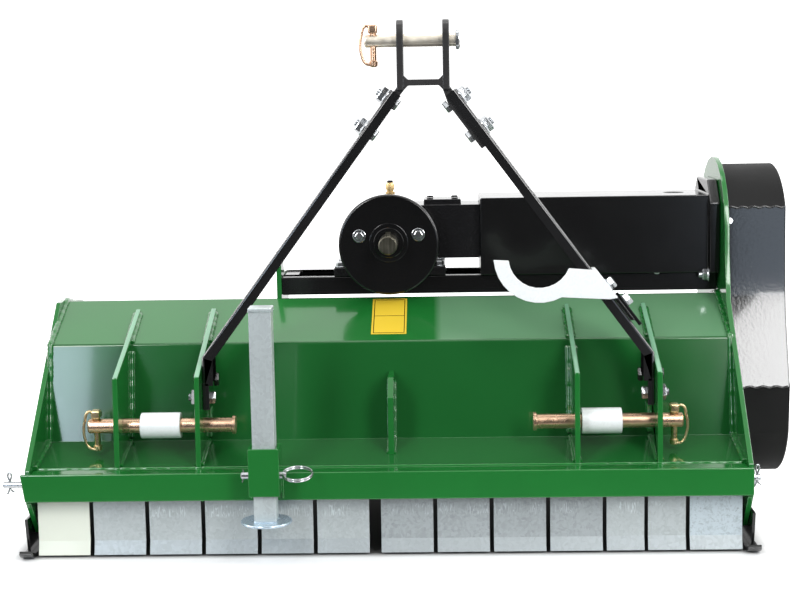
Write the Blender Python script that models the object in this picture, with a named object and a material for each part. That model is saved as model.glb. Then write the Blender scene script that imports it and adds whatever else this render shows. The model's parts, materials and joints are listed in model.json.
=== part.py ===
"""Light flail mulcher for a small tractor: hood, three-point hitch, gearbox, belt drive, rotor and roller.

Metres, +Z up. X runs across the machine, the tractor stands on the -Y side and the roller trails at +Y.
The pieces are laid out from the middle of the working width, the front of the rail and the ground, and the
empty "machine" then moves them all, so that the origin is under the middle of the whole object.
"""
import math

import bmesh
import bpy
from mathutils import Matrix, Vector

# Gaps
GAP = 0.0003                 # between pieces that touch
RUN = 0.0008                 # round a shaft or pin that turns or slides

# Pieces of one solid sink this far into each other, and cutters run this far through
OVERLAP = 0.0005
THROUGH = 0.02
FAR_THROUGH = 0.1

# Hood
WORKING_WIDTH = 1.050        # between the side plates
SIDE_T = 0.008               # side plate
SHEET_T = 0.005              # hood sheet
SWING_R = 0.150              # reach of the flails from the rotor axis
GROUND_CLEAR = 0.020         # flail tips above the ground
TOE_Y = 0.130                # first fold of the hood behind the front of the rail
# Folds of the hood sheet: angle round the rotor axis and stand-off from the flails' circle
HOOD_FOLDS = ((186.1, 0.0285), (139.3, 0.0446), (97.75, 0.0317), (59.2, 0.0305), (22.1, 0.0362),
              (0.0, 0.0525))

GUSSET_START = 0.040         # gusset's foot behind the rail
GUSSET_DROP = 0.045          # gusset's top below the second fold
GUSSET_CUT = (0.022, 0.025)  # corner cut off its front
GUSSET_T = 0.009
BRACKET_PLATE_T = 0.008      # subframe bracket at the left
BRACKET_RISE = 0.042         # its front above the subframe
BRACKET_FRONT_W = 0.034
BRACKET_HEEL = (0.050, 0.004)  # where its slope meets the subframe's top

# Front rail
RAIL_BOTTOM = 0.0885
RAIL_H = 0.0415
RAIL_DEPTH = 0.035
RAIL_T = 0.006
ROD_R = 0.005
ROD_BACK = 0.011             # rod centre behind the rail's front leaf
ROD_DROP = 0.012             # rod centre below the rail's top leaf
ROD_END = 0.027              # rod past the left side plate
ROD_END_RIGHT = 0.012
WASHER_RIM = 0.006           # washer past its rod
WASHER_T = 0.0025
SPLIT_PIN_R = 0.0016
SPLIT_PIN_HALF = 0.0135
SPLIT_PIN_IN = (0.008, 0.005)    # from the left and from the right end of the rod

# Front flaps
FLAP_T = 0.0025
FLAP_BOTTOM = 0.003
FLAP_LIP = 0.021
FLAP_LIP_OUT = 0.006
FLAP_SPACE = 0.0035
FLAP_MIDDLE_SPACE = 0.015    # between the sixth and the seventh flap
NARROW_SHARE = 0.72          # width of the eleventh and twelfth flap against the others
NARROW_FLAPS = (11, 12)
FLAP_COUNT = 13

# Hitch
LUG_T = 0.008
LUG_SPREAD = 0.682           # between the middles of the two lower hitch points
LUG_SPACE = 0.121            # between the middles of two lugs of a pair
LUG_KNEE = (0.040, 0.266)
LUG_FRONT = 0.033
LUG_TOP_Y = 0.250
LUG_TIP = (0.004, 0.006)     # blunt end of a lug's top: its length and its height over the hood
LUG_SEAT = 0.0005            # between a lug's foot and the hood
PIN_Y = 0.078
PIN_Z = 0.186
LOWER_PIN_R = 0.011
LOWER_PIN_IN = 0.048         # head end of a lower pin past its inner lug
LOWER_PIN_OUT = 0.046        # far end of a lower pin past its outer lug
RIGHT_PIN_IN = 0.011         # right lower pin set further in than the left
RIGHT_BUSH_IN = 0.022        # right bush off the middle of its lugs
PIN_HEAD_R = 0.014
PIN_HEAD_T = 0.005
PIN_CHAMFER = 0.002
BUSH_R = 0.0195
BUSH_L = 0.060
LINCH_R = 0.00475
LINCH_END = 0.013            # linch pin hole from the end of its pin
LINCH_TAIL = 0.040
LINCH_HEAD_R = 0.008
LINCH_HEAD_T = 0.009
LINCH_HEAD_LIFT = 0.002      # head above its pin
LINCH_RING_OUT = 0.008       # ring past its pin
LINCH_WIRE_R = 0.0018

# A-frame
FRAME_Y = 0.090
BRACE_W = 0.016
BRACE_WALL = 0.0035           # channel section of a brace
BRACE_CHANNEL_END = 0.045     # channel short of the foot
BRACE_D = 0.040
BRACE_FOOT = 0.210
BRACE_STEP = 0.248
BRACE_BEND = 0.287
BRACE_TOP_CUT = 0.010        # brace short of the mast's bend
BRACE_BOLTS_ALONG = (0.024, 0.079)
TAB_T = 0.010
BOLT_R = 0.006
BOLT_HEAD_R = 0.0105
BOLT_HEAD_T = 0.007
NUT_T = 0.008
BOLT_PAST = 0.0025           # end of a bolt past its nut
LUG_BOLTS_Z = (0.226, 0.254)
MAST_T = 0.010
MAST_D = 0.045
MAST_SPACE = 0.067           # between the middles of the two mast plates
MAST_TOP = 0.782
MAST_UPRIGHT = 0.098         # straight part of a mast plate, below its top
MAST_PLATE_END = 0.004       # straight part past the bend
MAST_LEG = 0.103             # bent part of a mast plate, inside the channel of its brace
CROSS_BAR_T = 0.009
CROSS_BAR_LIFT = 0.007       # middle of the cross bar above the mast's bend
CROSS_BAR_WELD = 0.0065
TOP_PIN_R = 0.0095
TOP_PIN_DROP = 0.030         # pin's middle below the mast's top
TOP_PIN_LEFT = 0.047         # past the outer face of the left mast plate
TOP_PIN_RIGHT = 0.010

# Rest hook for the tractor's shaft
HOOK_T = 0.005
HOOK_X = 0.2280
HOOK_Z = 0.434
HOOK_R = 0.046
HOOK_BAND = 0.022
HOOK_TAB = 0.034             # tab below the blade
HOOK_LOW = 0.062             # blade's lower and upper corner on the brace, below the centre
HOOK_HIGH = 0.021
HOOK_CORNER = (0.012, 0.002)
HOOK_INNER = (-22, -174)     # angles of the inner and of the outer edge
HOOK_OUTER = (-177, -62)

# Parking stand
STAND_X = -0.175
STAND_W = 0.032
STAND_WALL = 0.0025
STAND_FOOT_Z = 0.062
STAND_LEN = 0.307
STAND_FOOT_R = 0.0375
STAND_FOOT_T = 0.004
STAND_CAP_T = 0.005
STAND_CAP_RIM = 0.001
STAND_UP = 0.021             # travel of the leg from its place in the photograph
STAND_DOWN = 0.160
SOCKET_T = 0.0055
SOCKET_H = 0.070
SOCKET_BOTTOM = 0.105
STAND_PIN_R = 0.005
STAND_PIN_Z = 0.132
STAND_PIN_LEFT = 0.013
STAND_PIN_RIGHT = 0.004
STAND_RING_R = 0.019
STAND_WIRE_R = 0.002

# Gearbox and housing
AXIS_BACK = 0.0375           # gearbox axis behind the rotor axis
AXIS_LIFT = 0.090            # gearbox axis above the hood's ridge
TUBE_W = 0.024
TUBE_SPACE = 0.094           # between the middles of the two subframe tubes
TUBE_LIFT = 0.009            # subframe above the ridge
SUBFRAME_LEFT = 0.175
BASE_T = 0.014
BASE_HALF = 0.090
CASE_R = 0.0555
CASE_FLANGE_R = 0.072
CASE_FLANGE_T = 0.012
CASE_WALL = 0.0055
CASE_DEPTH = 0.150
CASE_BACK_CUT = (0.008, 0.010)   # chamfer of its back: along the axis and inwards
CASE_BACK_WALL = 0.012
FOOT_BACK = 0.004            # feet behind the case's flange
CHEEK_IN = (0.006, 0.010)    # cheeks behind the flange, and short of the back and of the axis
BORE_RUN = 0.0025            # round a shaft where it leaves the gearbox
COVER_R = 0.0802
COVER_LOW = 0.0035           # its middle under the shaft's axis
COVER_T = 0.015
COVER_EDGE = 0.003
PTO_R = 0.015
PTO_OUT = 0.050              # end of the stub in front of the cover
PTO_CHAMFER = 0.002
PTO_KEY = (0.008, 0.003, 0.046)    # width, height over the stub, end behind the tip
CROWN_R = 0.047
CROWN_BACK = 0.014           # depth of the crown gear's rim
CROWN_CUT = 0.004
CROWN_INNER = 0.68           # share of the radius where its cone ends
PINION_R = 0.0155
MESH = 0.0015                # between the two gears
PINION_TIP = 0.66            # share of the pinion's radius at its small end
SHAFT_R = 0.0125
NECK_END = 0.146
NECK_D = 0.100
NECK_H = 0.086
NECK_DROP = 0.030            # neck's floor below the axis
LID_X = (0.090, 0.030)       # lid's ends short of the neck's end
LID_HALF = 0.035
LID_T = 0.008
BREATHER_X = 0.002
BREATHER_Y = -0.035
BREATHER_R = 0.007
BREATHER_BOSS = 0.003
BREATHER_STEM = 0.7          # share of the radius
BREATHER_H = 0.024
HOUSING_D = 0.140
HOUSING_H = 0.124
HOUSING_T = 0.005
HOUSING_BORE = 0.006         # round the cross shaft
FLANGE_T = 0.016
FLANGE_D = 0.170
FLANGE_RISE = 0.023
FLANGE_SHOULDER = (0.035, 0.012)   # corner cut off the flange: across and below the housing's top
HOUSING_EYE_R = 0.016
HOUSING_EYE_IN = 0.062

# Belt drive
UPPER_PULLEY_R = 0.092
LOWER_PULLEY_R = 0.080
PULLEY_W = 0.040
PULLEY_RIM = 0.014
PULLEY_DISH = 0.014          # depth of the hollow in a pulley's outer face
PULLEY_DRAFT = 0.002
UPPER_HUB_R = 0.024
LOWER_HUB_R = 0.028
PULLEY_OUT = 0.024           # pulleys outside the right side plate
BELT_T = 0.008
BELT_IN = 0.003              # belt's edges inside the pulleys'
COVER_CLEAR = 0.010
COVER_WALL = 0.003
COVER_DEPTH = 0.089
DRIVE_PLATE_RIM = 0.012      # right side plate past the belt cover

# Rotor
ROTOR_R = 0.045
ROTOR_WALL = 0.008
ROTOR_END = 0.040            # rotor tube short of the side plates
STUB_R = 0.0175
STUB_PAST = 0.003            # stub shaft past its bearing or its pulley
STATIONS = 8
STATION_TURN = 135.0         # degrees from one flail station to the next
STATION_START = 22.5         # degrees of the first station from straight up
FLAIL_STOP = 118.0           # degrees that a flail swings each way from pointing outwards
STATION_END = 0.065
HINGE_R = 0.075
HINGE_PIN_R = 0.007
ROTOR_LUG_T = 0.006
ROTOR_LUG_W = 0.030
FLAIL_SPACE = 0.030          # between the two lugs of a station
FLAIL_HUB_R = 0.013
FLAIL_W = 0.036
FLAIL_T = 0.006
FLAIL_SPREAD = 0.030
FLAIL_SHANK = 0.4            # share of a blade's length that runs straight
FLAIL_SIDE = 0.0015          # between the hub and its lugs
DRAIN_R = 0.004
BEARING_T = 0.022
BEARING_W = 0.095
BEARING_R = 0.036
BEARING_CORNER = 0.020
FLANGE_PLATE_T = 0.010

# Side plates and runners
PLATE_BOTTOM = 0.030
PLATE_TOE = 0.050
PLATE_REAR = 0.215           # rear edge behind the rotor axis
PLATE_HEEL = (0.030, 0.020)  # corner cut off the rear of its foot
PLATE_RAIL_RIM = 0.004       # past the rail, above and below
PLATE_HOOD_RIM = 0.012       # past the rear folds of the hood
PLATE_CREST = (0.038, 0.002, 0.003)  # front of its flat top before the ridge, and heights over the ridge
PLATE_NECK = (0.016, 0.004)  # foot of the right plate's rise: in front of its rim and below the ridge
PLATE_REAR_RIM = 0.030       # right plate past the hood's rear fold
STUB_HOLE = 0.004            # rotor hole round the stub shaft
SHAFT_HOLE = 0.012           # round the cross shaft
BRACKET_BOLT_IN = 0.045      # roller bracket's bolts in from the plate's rear edge
BRACKET_BOLTS_Z = (0.020, -0.030)    # from the rotor axis
SKID_T = 0.006
SKID_LIP = 0.007              # foot past its flange
SKID_FLANGE_T = 0.0045
SKID_RISE = 0.060
SKID_NOSE = ((0.0, 0.009), (0.006, 0.004), (0.014, 0.001), (0.026, 0.0))    # behind the tip, above the foot
SKID_FLANGE_FRONT = (0.010, 0.022)   # flange behind the tip at its top and at its foot
SKID_FLANGE_BACK = (0.030, 0.010)    # flange short of the runner's end at its top and at its foot
SKID_BACK = 0.120            # runner past the rotor axis
SKID_FRONT = 0.002

# Roller
ROLLER_R = 0.050
ROLLER_WALL = 0.005
ROLLER_BACK = 0.2825         # roller axis behind the rotor axis
ROLLER_AXLE_R = 0.0125
ROLLER_END = 0.008
BRACKET_T = 0.008
BRACKET_W = 0.060
BRACKET_TOP = 0.042          # above the rotor axis
BRACKET_IN = (0.010, 0.075)  # its rear and front edge in from the side plate's rear edge
BRACKET_ELBOW = 0.050        # below the rotor axis
AXLE_PAST = 0.003

# Numbers of sides of the round pieces
SIDES_SMALL = 12
SIDES = 20
SIDES_LARGE = 32
LOOP_STEPS = 14              # of the belt's turn round one pulley

# Places worked out from the driving sizes
HALF = WORKING_WIDTH / 2
OUTER = HALF + SIDE_T
RAIL_TOP = RAIL_BOTTOM + RAIL_H
ROTOR_Z = SWING_R + GROUND_CLEAR
ROTOR_Y = TOE_Y - (SWING_R + HOOD_FOLDS[0][1]) * math.cos(math.radians(HOOD_FOLDS[0][0]))


def fold_place(index, out=0.0):
    """Y and Z of a fold of the hood, measured round the rotor axis."""
    angle, stand_off = HOOD_FOLDS[index]
    reach = SWING_R + stand_off + out
    return ROTOR_Y + reach * math.cos(math.radians(angle)), ROTOR_Z + reach * math.sin(math.radians(angle))


HOOD_LINE = [(RAIL_DEPTH - RAIL_T, RAIL_TOP - 0.002)] + [fold_place(i) for i in range(len(HOOD_FOLDS))]
RIDGE_Y, RIDGE_Z = HOOD_LINE[3]
ROD_Y = RAIL_T + ROD_BACK
ROD_Z = RAIL_TOP - RAIL_T - ROD_DROP
LUG_X = [side * (LUG_SPREAD / 2) + pair * LUG_SPACE / 2 for side in (-1, 1) for pair in (-1, 1)]
LEFT_FACE = LUG_X[1] + LUG_T / 2
RIGHT_FACE = LUG_X[3] - LUG_T / 2
MAST_BEND = MAST_TOP - MAST_UPRIGHT
CROSS_BAR_Z = MAST_BEND + CROSS_BAR_LIFT
TOP_PIN_Z = MAST_TOP - TOP_PIN_DROP
MAST_X = (LEFT_FACE + RIGHT_FACE) / 2
LEG_SEAT = BRACE_W / 2 - BRACE_WALL - GAP    # outer face of a mast leg from the middle of its brace
LEG_D = BRACE_D - 2 * (BRACE_WALL + RUN)
BRACE_FOOT_X = (RIGHT_FACE - LEFT_FACE) / 2 - GAP
AXIS_Y = ROTOR_Y + AXIS_BACK
AXIS_Z = RIDGE_Z + AXIS_LIFT
TUBE_TOP = RIDGE_Z + TUBE_LIFT + TUBE_W
COVER_UPPER_R = UPPER_PULLEY_R + BELT_T + COVER_CLEAR + COVER_WALL
COVER_LOWER_R = LOWER_PULLEY_R + BELT_T + COVER_CLEAR + COVER_WALL
PULLEY_X = OUTER + PULLEY_OUT
ROLLER_Y = ROTOR_Y + ROLLER_BACK
REAR_Y = ROTOR_Y + PLATE_REAR
STAND_Y = -(STAND_W / 2 + RUN + SOCKET_T)
CASE_Y = AXIS_Y - CASE_DEPTH / 2
COVER_Y = CASE_Y - GAP
LEFT_END = -(OUTER + ROD_END)
RIGHT_END = OUTER + COVER_DEPTH
FRONT_END = STAND_Y - STAND_FOOT_R
BACK_END = ROLLER_Y + ROLLER_R


def hood_height(y, out=0.0):
    """Height of the hood's outer face at a distance behind the rail, raised square to the sheet."""
    for (y0, z0), (y1, z1) in zip(HOOD_LINE, HOOD_LINE[1:]):
        if y0 <= y <= y1:
            slope = (z1 - z0) / (y1 - y0)
            return z0 + slope * (y - y0) + out * math.hypot(1, slope)
    return HOOD_LINE[-1][1]


# Mesh helpers: each adds a closed solid to a bmesh

def place(axis, u, v, along):
    """Point with two coordinates across an axis and one along it."""
    if axis == "x":
        return Vector((along, u, v))
    if axis == "y":
        return Vector((u, along, v))
    return Vector((u, v, along))


def prism(bm, axis, outline, start, end):
    """Closed outline across an axis, extruded from start to end along it."""
    low = [bm.verts.new(place(axis, u, v, start)) for u, v in outline]
    high = [bm.verts.new(place(axis, u, v, end)) for u, v in outline]
    faces = [bm.faces.new(low), bm.faces.new(high)]
    for i in range(len(outline)):
        j = (i + 1) % len(outline)
        faces.append(bm.faces.new((low[i], low[j], high[j], high[i])))
    bmesh.ops.recalc_face_normals(bm, faces=faces)
    return low + high


def box(bm, x, y, z):
    """Box between two values on each axis."""
    return prism(bm, "z", ((x[0], y[0]), (x[1], y[0]), (x[1], y[1]), (x[0], y[1])), z[0], z[1])


def circle(centre, radius, sides, start=0.0):
    """Points of a regular polygon with its corners on a circle."""
    return [
        (
            centre[0] + radius * math.cos(math.radians(start) + math.tau * i / sides),
            centre[1] + radius * math.sin(math.radians(start) + math.tau * i / sides),
        )
        for i in range(sides)
    ]


def rod(bm, axis, centre, radius, start, end, sides=SIDES):
    """Round bar along an axis."""
    return prism(bm, axis, circle(centre, radius, sides, 90), start, end)


def lathe(bm, axis, centre, profile, sides=SIDES, closed=False):
    """Turned solid of (distance along the axis, radius), on the axis at both ends unless closed."""
    rings = []
    for along, radius in profile:
        if radius < 1e-6:
            rings.append([bm.verts.new(place(axis, centre[0], centre[1], along))])
        else:
            ring = circle(centre, radius, sides, 90)
            rings.append([bm.verts.new(place(axis, u, v, along)) for u, v in ring])
    pairs = list(zip(rings, rings[1:]))
    if closed:
        pairs.append((rings[-1], rings[0]))
    faces = []
    for one, two in pairs:
        for i in range(sides):
            j = (i + 1) % sides
            corners = [one[i % len(one)], one[j % len(one)], two[j % len(two)], two[i % len(two)]]
            corners = [v for k, v in enumerate(corners) if v not in corners[:k]]
            if len(corners) > 2:
                faces.append(bm.faces.new(corners))
    bmesh.ops.recalc_face_normals(bm, faces=faces)
    return [v for ring in rings for v in ring]


def slant_rod(bm, start, end, radius, sides=SIDES_SMALL):
    """Round bar between two points."""
    start, end = Vector(start), Vector(end)
    turn = (end - start).to_track_quat("Z", "Y").to_matrix()
    verts = prism(bm, "z", circle((0, 0), radius, sides), 0, (end - start).length)
    for vert in verts:
        vert.co = start + turn @ vert.co
    return verts


def wire_ring(bm, centre, axis, radius, wire, turns=SIDES, sides=6):
    """Closed ring of round wire round an axis."""
    across = circle((0, 0), wire, sides)
    u_axis, v_axis, w_axis = place(axis, 1, 0, 0), place(axis, 0, 1, 0), place(axis, 0, 0, 1)
    loops = []
    for i in range(turns):
        angle = math.tau * i / turns
        out = u_axis * math.cos(angle) + v_axis * math.sin(angle)
        loops.append([bm.verts.new(Vector(centre) + out * (radius + a) + w_axis * b) for a, b in across])
    faces = []
    for one, two in zip(loops, loops[1:] + loops[:1]):
        for i in range(sides):
            j = (i + 1) % sides
            faces.append(bm.faces.new((one[i], one[j], two[j], two[i])))
    bmesh.ops.recalc_face_normals(bm, faces=faces)


def strip(points, thickness, side=-1):
    """Outline of a folded strip: a line and the same line set off to one side, with mitred corners."""
    normals = []
    for (x0, y0), (x1, y1) in zip(points, points[1:]):
        length = math.hypot(x1 - x0, y1 - y0)
        normals.append((-(y1 - y0) / length * side, (x1 - x0) / length * side))
    offset = []
    for i, (x, y) in enumerate(points):
        before = normals[max(i - 1, 0)]
        after = normals[min(i, len(normals) - 1)]
        total = (before[0] + after[0], before[1] + after[1])
        scale = thickness * 2 / (total[0] ** 2 + total[1] ** 2)
        offset.append((x + total[0] * scale, y + total[1] * scale))
    return list(points) + offset[::-1]


def arc(centre, radius, start, end, steps):
    """Points of an arc, angles in degrees."""
    return [
        (
            centre[0] + radius * math.cos(math.radians(start + (end - start) * i / steps)),
            centre[1] + radius * math.sin(math.radians(start + (end - start) * i / steps)),
        )
        for i in range(steps + 1)
    ]


def loop_round(upper_r, lower_r, steps=LOOP_STEPS):
    """Outline in Y and Z of a band drawn tight round the two pulley axes."""
    dy, dz = ROTOR_Y - AXIS_Y, ROTOR_Z - AXIS_Z
    heading = math.degrees(math.atan2(dz, dy))
    tangent = math.degrees(math.acos((upper_r - lower_r) / math.hypot(dy, dz)))
    upper = arc((AXIS_Y, AXIS_Z), upper_r, heading + tangent, heading - tangent + 360, steps)
    lower = arc((ROTOR_Y, ROTOR_Z), lower_r, heading - tangent, heading + tangent, steps)
    return upper + lower


# Materials

def paint(name, colour, roughness, metallic=0.0):
    """Principled material with one colour."""
    material = bpy.data.materials.new(name)
    material.use_nodes = True
    shader = material.node_tree.nodes["Principled BSDF"]
    shader.inputs["Base Color"].default_value = (*colour, 1.0)
    shader.inputs["Roughness"].default_value = roughness
    shader.inputs["Metallic"].default_value = metallic
    return material


def clear_scene():
    """Start from an empty file."""
    for item in list(bpy.data.objects):
        bpy.data.objects.remove(item, do_unlink=True)


def make_object(name, bm, material, origin=(0, 0, 0)):
    """Object from a bmesh made in machine coordinates, with its origin on the given point."""
    bmesh.ops.translate(bm, verts=bm.verts, vec=-Vector(origin))
    mesh = bpy.data.meshes.new(name)
    bm.to_mesh(mesh)
    bm.free()
    mesh.materials.append(material)
    thing = bpy.data.objects.new(name, mesh)
    thing.location = origin
    bpy.context.collection.objects.link(thing)
    return thing


def merge(thing, operation, build):
    """Union with, or difference by, the separate solids that the build function adds, one after another."""
    bm = bmesh.new()
    build(bm)
    bmesh.ops.translate(bm, verts=bm.verts, vec=-thing.location)
    mesh = bpy.data.meshes.new("tool")
    bm.to_mesh(mesh)
    bm.free()
    tool = bpy.data.objects.new("tool", mesh)
    tool.location = thing.location
    tool.hide_render = True
    tool.display_type = "WIRE"
    bpy.context.collection.objects.link(tool)
    modifier = thing.modifiers.new("shape", "BOOLEAN")
    modifier.operation = operation
    modifier.object = tool
    modifier.solver = "EXACT"
    modifier.use_self = True
    bpy.context.view_layer.update()
    result = bpy.data.meshes.new_from_object(thing.evaluated_get(bpy.context.evaluated_depsgraph_get()))
    thing.modifiers.clear()
    old = thing.data
    thing.data = result
    bpy.data.meshes.remove(old)
    bpy.data.objects.remove(tool, do_unlink=True)


def solid(name, material, parts, cuts=(), origin=(0, 0, 0)):
    """One closed solid: the first builder's shape, joined with the others, then cut by each cutter."""
    bm = bmesh.new()
    parts[0](bm)
    thing = make_object(name, bm, material, origin)
    for part in parts[1:]:
        merge(thing, "UNION", part)
    for cut in cuts:
        merge(thing, "DIFFERENCE", cut)
    thing.data.name = name
    return thing


# Hood, rail and side plates

def hood_bodies(green):
    """Hood sheet with the front rail, the gusset, the stand's socket and the subframe's bracket welded on."""
    socket_half = STAND_W / 2 + RUN + SOCKET_T
    inner = STAND_W / 2 + RUN
    bracket_y = AXIS_Y - TUBE_SPACE / 2 - TUBE_W / 2
    bracket_back = AXIS_Y + TUBE_SPACE / 2 + TUBE_W / 2
    bracket_x = -(SUBFRAME_LEFT + GAP)
    bracket_top = TUBE_TOP + BRACKET_RISE
    gusset_y = RAIL_DEPTH + GUSSET_START

    def sheet(bm):
        prism(bm, "x", strip(HOOD_LINE, SHEET_T), -HALF + GAP, HALF - GAP)

    def rail_front(bm):
        box(bm, (-OUTER, OUTER), (0, RAIL_T), (RAIL_BOTTOM, RAIL_TOP))

    def rail_top(bm):
        box(bm, (-HALF + GAP, HALF - GAP), (RAIL_T / 2, RAIL_DEPTH), (RAIL_TOP - RAIL_T, RAIL_TOP))

    def gusset(bm):
        high = fold_place(1)[1] - GUSSET_DROP
        toe_y, toe_z = HOOD_LINE[1]
        lean = (HOOD_LINE[2][0] - toe_y) / (HOOD_LINE[2][1] - toe_z)
        outline = [
            (gusset_y, hood_height(gusset_y) - SHEET_T / 2),
            (gusset_y, high - GUSSET_CUT[1]),
            (gusset_y + GUSSET_CUT[0], high),
            (toe_y + (high - toe_z) * lean + SHEET_T / 2, high),
            (toe_y + SHEET_T / 2, toe_z),
        ]
        prism(bm, "x", outline, 0.0, GUSSET_T)

    def socket(bm):
        box(bm, (STAND_X - socket_half, STAND_X + socket_half), (STAND_Y - socket_half, OVERLAP),
            (SOCKET_BOTTOM, SOCKET_BOTTOM + SOCKET_H))

    def bracket(bm):
        steps = [bracket_y + (bracket_back - bracket_y) * i / 4 for i in range(5)]
        foot = [(y, hood_height(y) - SHEET_T / 2) for y in steps]
        top = [(bracket_back, TUBE_TOP), (bracket_y + BRACKET_HEEL[0], TUBE_TOP + BRACKET_HEEL[1]),
               (bracket_y + BRACKET_FRONT_W, bracket_top), (bracket_y, bracket_top)]
        prism(bm, "x", foot + top, bracket_x - BRACKET_PLATE_T, bracket_x)

    def socket_bore(bm):
        box(bm, (STAND_X - inner, STAND_X + inner), (STAND_Y - inner, STAND_Y + inner), (0, 1))

    def pin_bore(bm):
        rod(bm, "x", (STAND_Y, STAND_PIN_Z), STAND_PIN_R + RUN, STAND_X - FAR_THROUGH, STAND_X + FAR_THROUGH,
            SIDES_SMALL)

    pieces = [sheet, rail_front, rail_top, gusset, socket, bracket]
    solid("deck_shell", green, pieces, [socket_bore, pin_bore])


def plate_outline(right):
    """Outline in Y and Z of a side plate. The right one rises to carry the belt drive."""
    front = RAIL_T + GAP
    heel_y, heel_z = PLATE_HEEL
    lower = [(REAR_Y, PLATE_BOTTOM + heel_z), (REAR_Y - heel_y, PLATE_BOTTOM), (PLATE_TOE, PLATE_BOTTOM),
             (front, RAIL_BOTTOM - PLATE_RAIL_RIM), (front, RAIL_TOP + PLATE_RAIL_RIM)]
    if not right:
        rear = fold_place(4, PLATE_HOOD_RIM)
        top = fold_place(3, PLATE_HOOD_RIM)
        crest, low_lift, high_lift = PLATE_CREST
        return lower + [(RIDGE_Y - crest, RIDGE_Z + low_lift), (RIDGE_Y, RIDGE_Z + high_lift), top, rear]
    rim = COVER_UPPER_R + DRIVE_PLATE_RIM
    rise = [(AXIS_Y - rim - PLATE_NECK[0], RIDGE_Z - PLATE_NECK[1])]
    return lower + rise + arc((AXIS_Y, AXIS_Z), rim, 185, -15, 14) + [fold_place(4, PLATE_REAR_RIM)]


def side_plates(green):
    """The two side plates with holes for the rotor, the flap rod and, at the right, the cross shaft."""
    def build(name, side, right):
        inner = side * (HALF + GAP)
        outer = side * OUTER
        ends = (inner - THROUGH, inner + THROUGH)
        holes = [
            lambda bm: rod(bm, "x", (ROTOR_Y, ROTOR_Z), STUB_R + STUB_HOLE, *ends),
            lambda bm: rod(bm, "x", (ROD_Y, ROD_Z), ROD_R + GAP, *ends, SIDES_SMALL),
            lambda bm: bracket_bolts(bm, *ends, BOLT_R + GAP),
        ]
        if right:
            holes.append(lambda bm: rod(bm, "x", (AXIS_Y, AXIS_Z), SHAFT_R + SHAFT_HOLE, *ends))
        faces = sorted((inner, outer))
        solid(name, green, [lambda bm: prism(bm, "x", plate_outline(right), *faces)], holes)

    build("side_plate_left", -1, False)
    build("side_plate_right", 1, True)


def skids(black):
    """Bent runners under the side plates: a foot with a turned-up nose and a flange outside the plate."""
    back = ROTOR_Y + SKID_BACK
    foot_line = [(SKID_FRONT + y, SKID_T + z) for y, z in SKID_NOSE] + [(back, SKID_T)]
    for name, side in (("skid_left", -1), ("skid_right", 1)):
        face = side * (OUTER + GAP)
        outer = face + side * SKID_FLANGE_T
        across = sorted((outer + side * SKID_LIP, side * HALF))
        flange_x = sorted((face, outer))

        def foot(bm):
            prism(bm, "x", strip(foot_line, SKID_T, -1), across[0], across[1])

        def flange(bm):
            outline = [(SKID_FRONT + SKID_FLANGE_FRONT[1], SKID_T / 2),
                       (back - SKID_FLANGE_BACK[1], SKID_T / 2),
                       (back - SKID_FLANGE_BACK[0], SKID_RISE),
                       (SKID_FRONT + SKID_FLANGE_FRONT[0], SKID_RISE)]
            prism(bm, "x", outline, flange_x[0], flange_x[1])

        solid(name, black, [foot, flange])


# Front flaps

def flap_layout():
    """Left edge and width of each front flap."""
    clear = WORKING_WIDTH - 2 * FLAP_SPACE
    gaps = (FLAP_COUNT - 2) * FLAP_SPACE + FLAP_MIDDLE_SPACE
    shares = [NARROW_SHARE if i + 1 in NARROW_FLAPS else 1.0 for i in range(FLAP_COUNT)]
    full = (clear - gaps) / sum(shares)
    places = []
    left = -HALF + FLAP_SPACE
    for i, share in enumerate(shares):
        places.append((left, full * share))
        left += full * share + (FLAP_MIDDLE_SPACE if i == FLAP_COUNT // 2 - 1 else FLAP_SPACE)
    return places


def flaps(zinc):
    """Front flaps: a plate under a rolled eye on the rod, with a lip turned forward at the bottom."""
    eye_in = (ROD_R + RUN) / math.cos(math.pi / SIDES_SMALL)
    eye_out = eye_in + FLAP_T
    lip_z = FLAP_BOTTOM + FLAP_LIP
    back = ROD_Y + eye_out
    line = [(back, ROD_Z), (back, lip_z), (back - FLAP_LIP_OUT, FLAP_BOTTOM)]
    for i, (left, width) in enumerate(flap_layout()):
        profile = [(left, eye_in), (left, eye_out), (left + width, eye_out), (left + width, eye_in)]

        def eye(bm):
            lathe(bm, "x", (ROD_Y, ROD_Z), profile, SIDES_SMALL, closed=True)

        def leaf(bm):
            prism(bm, "x", strip(line, FLAP_T), left, left + width)

        solid(f"front_flap_{i + 1:02d}", zinc, [eye, leaf], origin=((left + width / 2), ROD_Y, ROD_Z))


def flap_rod(zinc):
    """Rod that carries the flaps, with a washer and a split pin at each end."""
    right_end = OUTER + ROD_END_RIGHT

    def bar(bm):
        rod(bm, "x", (ROD_Y, ROD_Z), ROD_R, LEFT_END, right_end, SIDES_SMALL)

    def washer(bm, x):
        rod(bm, "x", (ROD_Y, ROD_Z), ROD_R + WASHER_RIM, x, x + WASHER_T, SIDES_SMALL)

    def split_pin(bm, x):
        rod(bm, "z", (x, ROD_Y), SPLIT_PIN_R, ROD_Z - SPLIT_PIN_HALF, ROD_Z + SPLIT_PIN_HALF, 6)

    solid("flap_rod", zinc, [
        bar,
        lambda bm: washer(bm, -OUTER - GAP - WASHER_T),
        lambda bm: washer(bm, OUTER + GAP),
        lambda bm: split_pin(bm, LEFT_END + SPLIT_PIN_IN[0]),
        lambda bm: split_pin(bm, right_end - SPLIT_PIN_IN[1]),
    ])


# Hitch

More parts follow.
